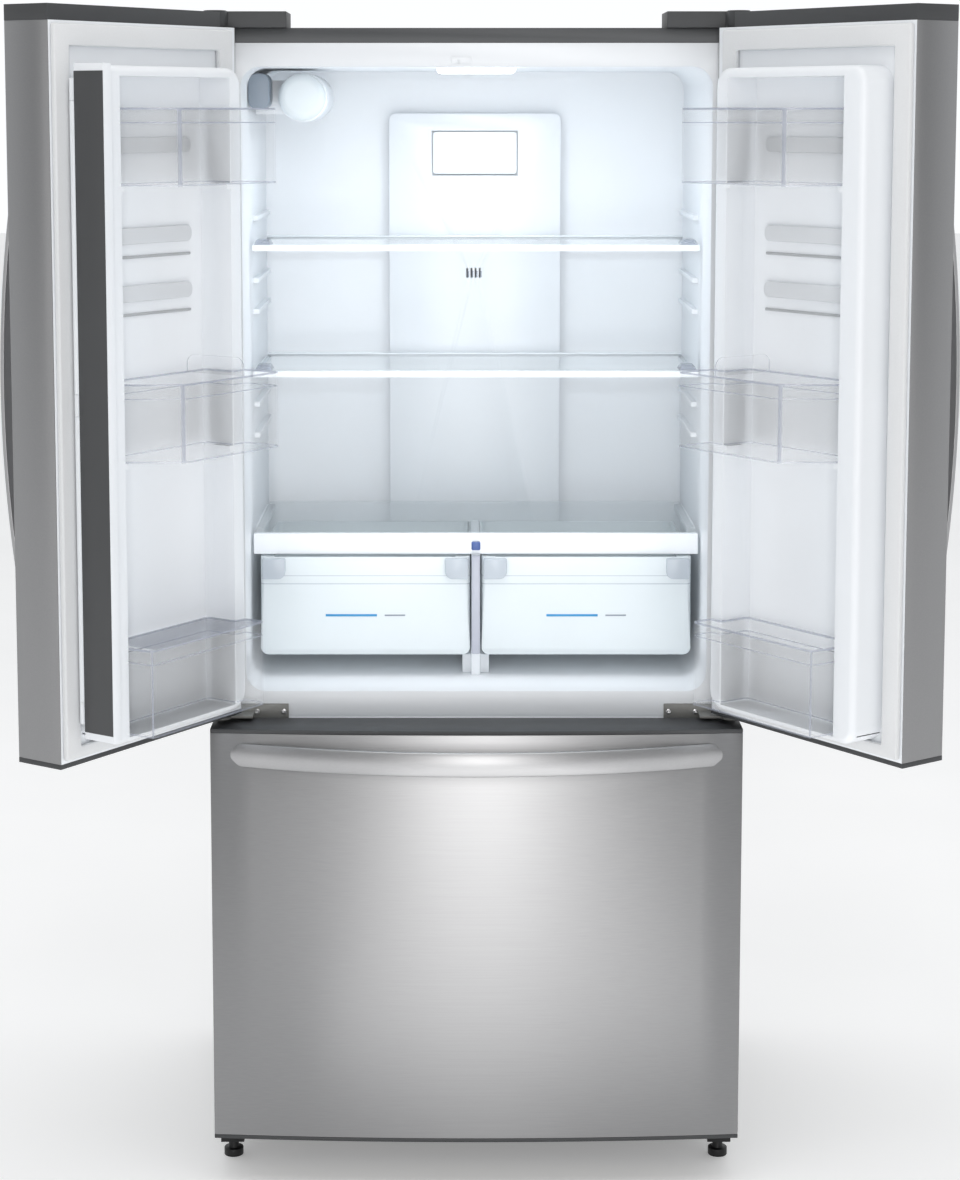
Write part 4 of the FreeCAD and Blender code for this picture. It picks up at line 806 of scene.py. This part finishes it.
class FRIDGE_OT_handles(bpy.types.Operator):
    """Bowed strap handles"""
    bl_idname = "fridge.handles"
    bl_label = "Handles"

    def execute(self, context):
        sizes = context.scene.fridge_sizes
        for word in SIDES:
            node = word + "_door_handle"
            low, high = shut_box(node, word)
            piece = self.strap(node + "_fine", low, high, 2, sizes)
            move(piece, swing(word))
            stand_in(piece, node)
        piece = self.strap("drawer_handle_fine", *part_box("drawer_handle"), 0, sizes)
        stand_in(piece, "drawer_handle")
        return {"FINISHED"}

    def strap(self, name, low, high, along, sizes):
        """A crowned bar on one arc, its ends rounded where they sink into the front."""
        across = 2 - along
        rise = high.y - low.y
        half = (high[along] - low[along]) / 2
        middle = (low[along] + high[along]) / 2
        centre = (low[across] + high[across]) / 2
        breadth = (high[across] - low[across]) / 2
        top = Vector(high)
        top.y = low.y + STRAP_THICK
        piece = add_block(name, low, top)
        pick_edges(piece, lambda place, run, length: abs(run[along]) > MOSTLY)
        bpy.ops.mesh.subdivide(number_cuts=CUTS_ALONG)
        pick_edges(piece, lambda place, run, length: abs(run[across]) > MOSTLY)
        bpy.ops.mesh.subdivide(number_cuts=CUTS_ACROSS)
        bpy.ops.object.mode_set(mode="OBJECT")
        radius = (half ** 2 + rise ** 2) / (2 * rise)
        for vertex in piece.data.vertices:
            place = vertex.co[along] - middle
            aside = vertex.co[across] - centre
            outer = vertex.co.y < low.y + STRAP_OUTER
            past = (END_ROUND - half + abs(place)) / END_ROUND
            if past > 0:
                aside *= math.sqrt(max(0.0, 1 - past ** 2)) * (1 - END_WIDTH) + END_WIDTH
            crown = STRAP_CROWN * (aside / breadth) ** 2 if outer else 0.0
            vertex.co[across] = centre + aside
            vertex.co.y += radius - math.sqrt(radius ** 2 - place ** 2) + crown
        dress(piece, "handle_steel")
        soften_edges(piece, sizes.grip_edge * GRIP_SHARE, 4, 60)
        smooth(piece, 50)
        return piece


class FRIDGE_OT_bins(bpy.types.Operator):
    """Clear door bins"""
    bl_idname = "fridge.bins"
    bl_label = "Door Bins"

    def execute(self, context):
        sizes = context.scene.fridge_sizes
        for word in SIDES:
            for level in ("top", "middle", "bottom"):
                self.clear_bin(word, "%s_%s_bin" % (word, level), sizes)
        return {"FINISHED"}

    def clear_bin(self, word, node, sizes):
        """A tub with rounded corners; its rim, its front corners and thin lines under the rim and at its floor are
        painted darker as the shade refraction draws along clear edges.
        """
        piece = refined(node)
        move(piece, swing(word).inverted())
        dress(piece, "clear_plastic", "clear_edge_shade")
        top = max(vertex.co.z for vertex in piece.data.vertices)
        floor = min(vertex.co.z for vertex in piece.data.vertices)
        for inner, radius in ((False, sizes.bin_corner), (True, sizes.bin_corner - BIN_WALL)):
            pick_edges(piece, lambda middle, run, length: abs(run.z) > ALIGNED
                       and (abs(length - (top - floor)) > FULL_HEIGHT) == inner)
            bpy.ops.mesh.bevel(offset=radius, segments=5)
        bpy.ops.object.mode_set(mode="OBJECT")
        # Painted shade: the small rounded corner faces on the half of the bin away from the door take the darker
        # finish
        for face in piece.data.polygons:
            if (abs(abs(face.normal.x) - abs(face.normal.y)) < DIAGONAL and face.area < CORNER_AREA
                    and face.center.y > on_door(word, 0, BIN_MIDDLE, 0).y):
                face.material_index = 1
        soften_edges(piece, BIN_EDGE, 2, 35, material=1)
        # Painted shade: dark lines under the rim and at the floor, and the rim itself
        rim_band(piece, top - sizes.bin_band - BAND_LINE, top - sizes.bin_band, 1)
        rim_band(piece, floor + FLOOR_BAND[0], floor + FLOOR_BAND[1], 1)
        rim_band(piece, top - RIM_BAND[0], top - RIM_BAND[1], 1)
        for face in piece.data.polygons:
            if face.center.z > top - BAND_LINE:
                face.material_index = 1
        bpy.ops.object.mode_set(mode="EDIT")
        bpy.ops.mesh.select_all(action="SELECT")
        bpy.ops.mesh.quads_convert_to_tris(quad_method="BEAUTY", ngon_method="BEAUTY")
        bpy.ops.object.mode_set(mode="OBJECT")
        smooth(piece)
        move(piece, swing(word))
        stand_in(piece, node)
        if "middle" in node:
            self.bottle_divider(word, node, top)

    def bottle_divider(self, word, node, rim):
        """The clear plate that rises across a middle bin, above its rim."""
        low, high = (rim / MM + rise for rise in DIVIDER_UP)
        piece = door_block(node + "_flap", word, DIVIDER_ALONG, DIVIDER_INWARD, (low, high))
        pick_edges(piece, lambda middle, run, length: abs(run.x) > ALIGNED and middle.z > rim)
        bevel_picked(DIVIDER_ROUND, 6)
        dress(piece, "clear_plastic", "clear_edge_shade")
        # Painted shade: every face but the plate's two broad sides takes the darker clear finish
        for face in piece.data.polygons:
            face.material_index = 0 if abs(face.normal.x) > MOSTLY else 1
        soften_edges(piece, SHEET_EDGE, 2)
        smooth(piece)
        move(piece, swing(word))
        addition(piece, node)


class FRIDGE_OT_mullion(bpy.types.Operator):
    """Folding mullion and its hinge"""
    bl_idname = "fridge.mullion"
    bl_label = "Mullion"

    def execute(self, context):
        carry_over("mullion_body", "white_plastic", COVER_EDGE, segments=3)
        carry_over("mullion_strip", "strip_metal", HAIR_EDGE)
        carry_over("mullion_hinge", "white_plastic", SHEET_EDGE)
        return {"FINISHED"}


class FRIDGE_OT_freezer(bpy.types.Operator):
    """Freezer drawer with its front, basket, tray and slides"""
    bl_idname = "fridge.freezer"
    bl_label = "Freezer"

    def execute(self, context):
        carry_over("drawer_skin", "stainless", PANEL_EDGE)
        carry_over("drawer_caps", "dark_plastic", SMALL_EDGE)
        carry_over("drawer_liner", "white_plastic", LINER_EDGE, segments=3)
        carry_over("drawer_gasket", "gasket", SEAL_EDGE, segments=3)
        carry_over("drawer_basket", "frosted_plastic", SMALL_EDGE)
        carry_over("freezer_tray", "frosted_plastic", SMALL_EDGE)
        carry_over("drawer_rails", "bright_steel", SLIDE_EDGE)
        carry_over("freezer_rails", "bright_steel", SLIDE_EDGE)
        return {"FINISHED"}


class FRIDGE_OT_cooling(bpy.types.Operator):
    """Compressor, coils and fan"""
    bl_idname = "fridge.cooling"
    bl_label = "Cooling"

    def execute(self, context):
        carry_over("compressor", "black_enamel")
        carry_over("condenser_coil", "coil_metal")
        carry_over("evaporator_coil", "coil_metal")
        carry_over("evaporator_fan", "dark_plastic")
        return {"FINISHED"}


class FRIDGE_OT_stage(bpy.types.Operator):
    """Floor, light and camera"""
    bl_idname = "fridge.stage"
    bl_label = "Stage"

    def execute(self, context):
        start_clean()
        bpy.ops.mesh.primitive_plane_add(size=FLOOR_SIZE, location=(0, 0, 0))
        floor = context.object
        floor.name = "floor"
        material, tree, shader = new_finish("floor_paint")
        tree.links.new(tinted(tree, grain(tree, 1.5, 3.0), *FLOOR_SHADES),
                       shader.inputs["Base Color"])
        shader.inputs["Roughness"].default_value = FLOOR_ROUGH
        shader.inputs["Emission Color"].default_value = (1, 1, 1, 1)
        shader.inputs["Emission Strength"].default_value = FLOOR_GLOW
        floor.data.materials.append(material)
        context.scene.view_settings.view_transform = "Standard"
        self.world(context)
        for light in LIGHTS:
            self.softbox(*light)
        bpy.data.objects["floor_strip"].visible_camera = False
        self.inside()
        self.camera(context)
        return {"FINISHED"}

    def world(self, context):
        """Pale surroundings that are dimmer in front of the doors."""
        world = bpy.data.worlds.new("studio")
        world.use_nodes = True
        context.scene.world = world
        tree = world.node_tree
        background = tree.nodes["Background"]
        source = tree.nodes.new("ShaderNodeTexCoord")
        split = tree.nodes.new("ShaderNodeSeparateXYZ")
        tree.links.new(source.outputs["Generated"], split.inputs["Vector"])
        span = tree.nodes.new("ShaderNodeMapRange")
        span.inputs["From Min"].default_value, span.inputs["From Max"].default_value = SKY_SPAN
        span.inputs["To Min"].default_value, span.inputs["To Max"].default_value = SKY_STRENGTH
        tree.links.new(split.outputs["Y"], span.inputs["Value"])
        tree.links.new(span.outputs["Result"], background.inputs["Strength"])
        background.inputs["Color"].default_value = SKY_COLOR

    def softbox(self, name, place, turn, size, power, color):
        """One rectangular area light."""
        start_clean()
        bpy.ops.object.light_add(type="AREA", location=place,
                                 rotation=[math.radians(angle) for angle in turn])
        light = bpy.context.object
        light.name = name
        light.data.shape = "RECTANGLE"
        light.data.size, light.data.size_y = size
        light.data.energy = power
        light.data.color = color

    def inside(self):
        """Cool light from the ceiling lamp, and a soft fill across the opening."""
        lamp_low, lamp_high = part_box("lamp_lens")
        place = (lamp_low + lamp_high) / 2
        place.z = lamp_low.z - LAMP_GAP
        self.softbox("lamp_light", place, (0, 0, 0), LAMP_SIZE, LAMP_POWER, LAMP_COLOR)
        self.softbox("opening_fill", at(*FILL_PLACE), (90, 0, 0), FILL_SIZE, FILL_POWER,
                     FILL_COLOR)

    def camera(self, context):
        """A long lens at the height of the upper door bins, looking slightly down."""
        start_clean()
        bpy.ops.object.camera_add(location=CAMERA_PLACE,
                                  rotation=(math.radians(90 - CAMERA_PITCH), 0, 0))
        camera = context.object
        camera.data.lens = CAMERA_LENS
        camera.data.sensor_width = CAMERA_SENSOR
        camera.data.shift_x, camera.data.shift_y = CAMERA_SHIFT
        context.scene.camera = camera


PIECE_CLASSES = (FRIDGE_OT_cabinet, FRIDGE_OT_interior, FRIDGE_OT_shelves, FRIDGE_OT_crispers,
                 FRIDGE_OT_hinges, FRIDGE_OT_doors, FRIDGE_OT_handles, FRIDGE_OT_bins,
                 FRIDGE_OT_mullion, FRIDGE_OT_freezer, FRIDGE_OT_cooling, FRIDGE_OT_stage)


class FRIDGE_PT_pieces(bpy.types.Panel):
    """Lists the refrigerator's pieces"""
    bl_idname = "FRIDGE_PT_pieces"
    bl_label = "Refrigerator"
    bl_space_type = "VIEW_3D"
    bl_region_type = "UI"
    bl_category = "Refrigerator"

    def draw(self, context):
        sizes = context.scene.fridge_sizes
        for name in sizes.bl_rna.properties.keys():
            if name not in ("rna_type", "name"):
                self.layout.prop(sizes, name)
        for piece in PIECE_CLASSES:
            self.layout.operator(piece.bl_idname)


CLASSES = (FridgeSizes,) + PIECE_CLASSES + (FRIDGE_PT_pieces,)


def register():
    """Make the classes known to Blender."""
    for item in CLASSES:
        bpy.utils.register_class(item)
    bpy.types.Scene.fridge_sizes = PointerProperty(type=FridgeSizes)


def unregister():
    """Forget the classes."""
    del bpy.types.Scene.fridge_sizes
    for item in reversed(CLASSES):
        bpy.utils.unregister_class(item)


def main():
    """Build every piece in order."""
    register()
    make_finishes(bpy.context.scene.fridge_sizes)
    for piece in PIECE_CLASSES:
        group, word = piece.bl_idname.split(".")
        getattr(getattr(bpy.ops, group), word)()
    start_clean()


if __name__ == "__main__":
    main()
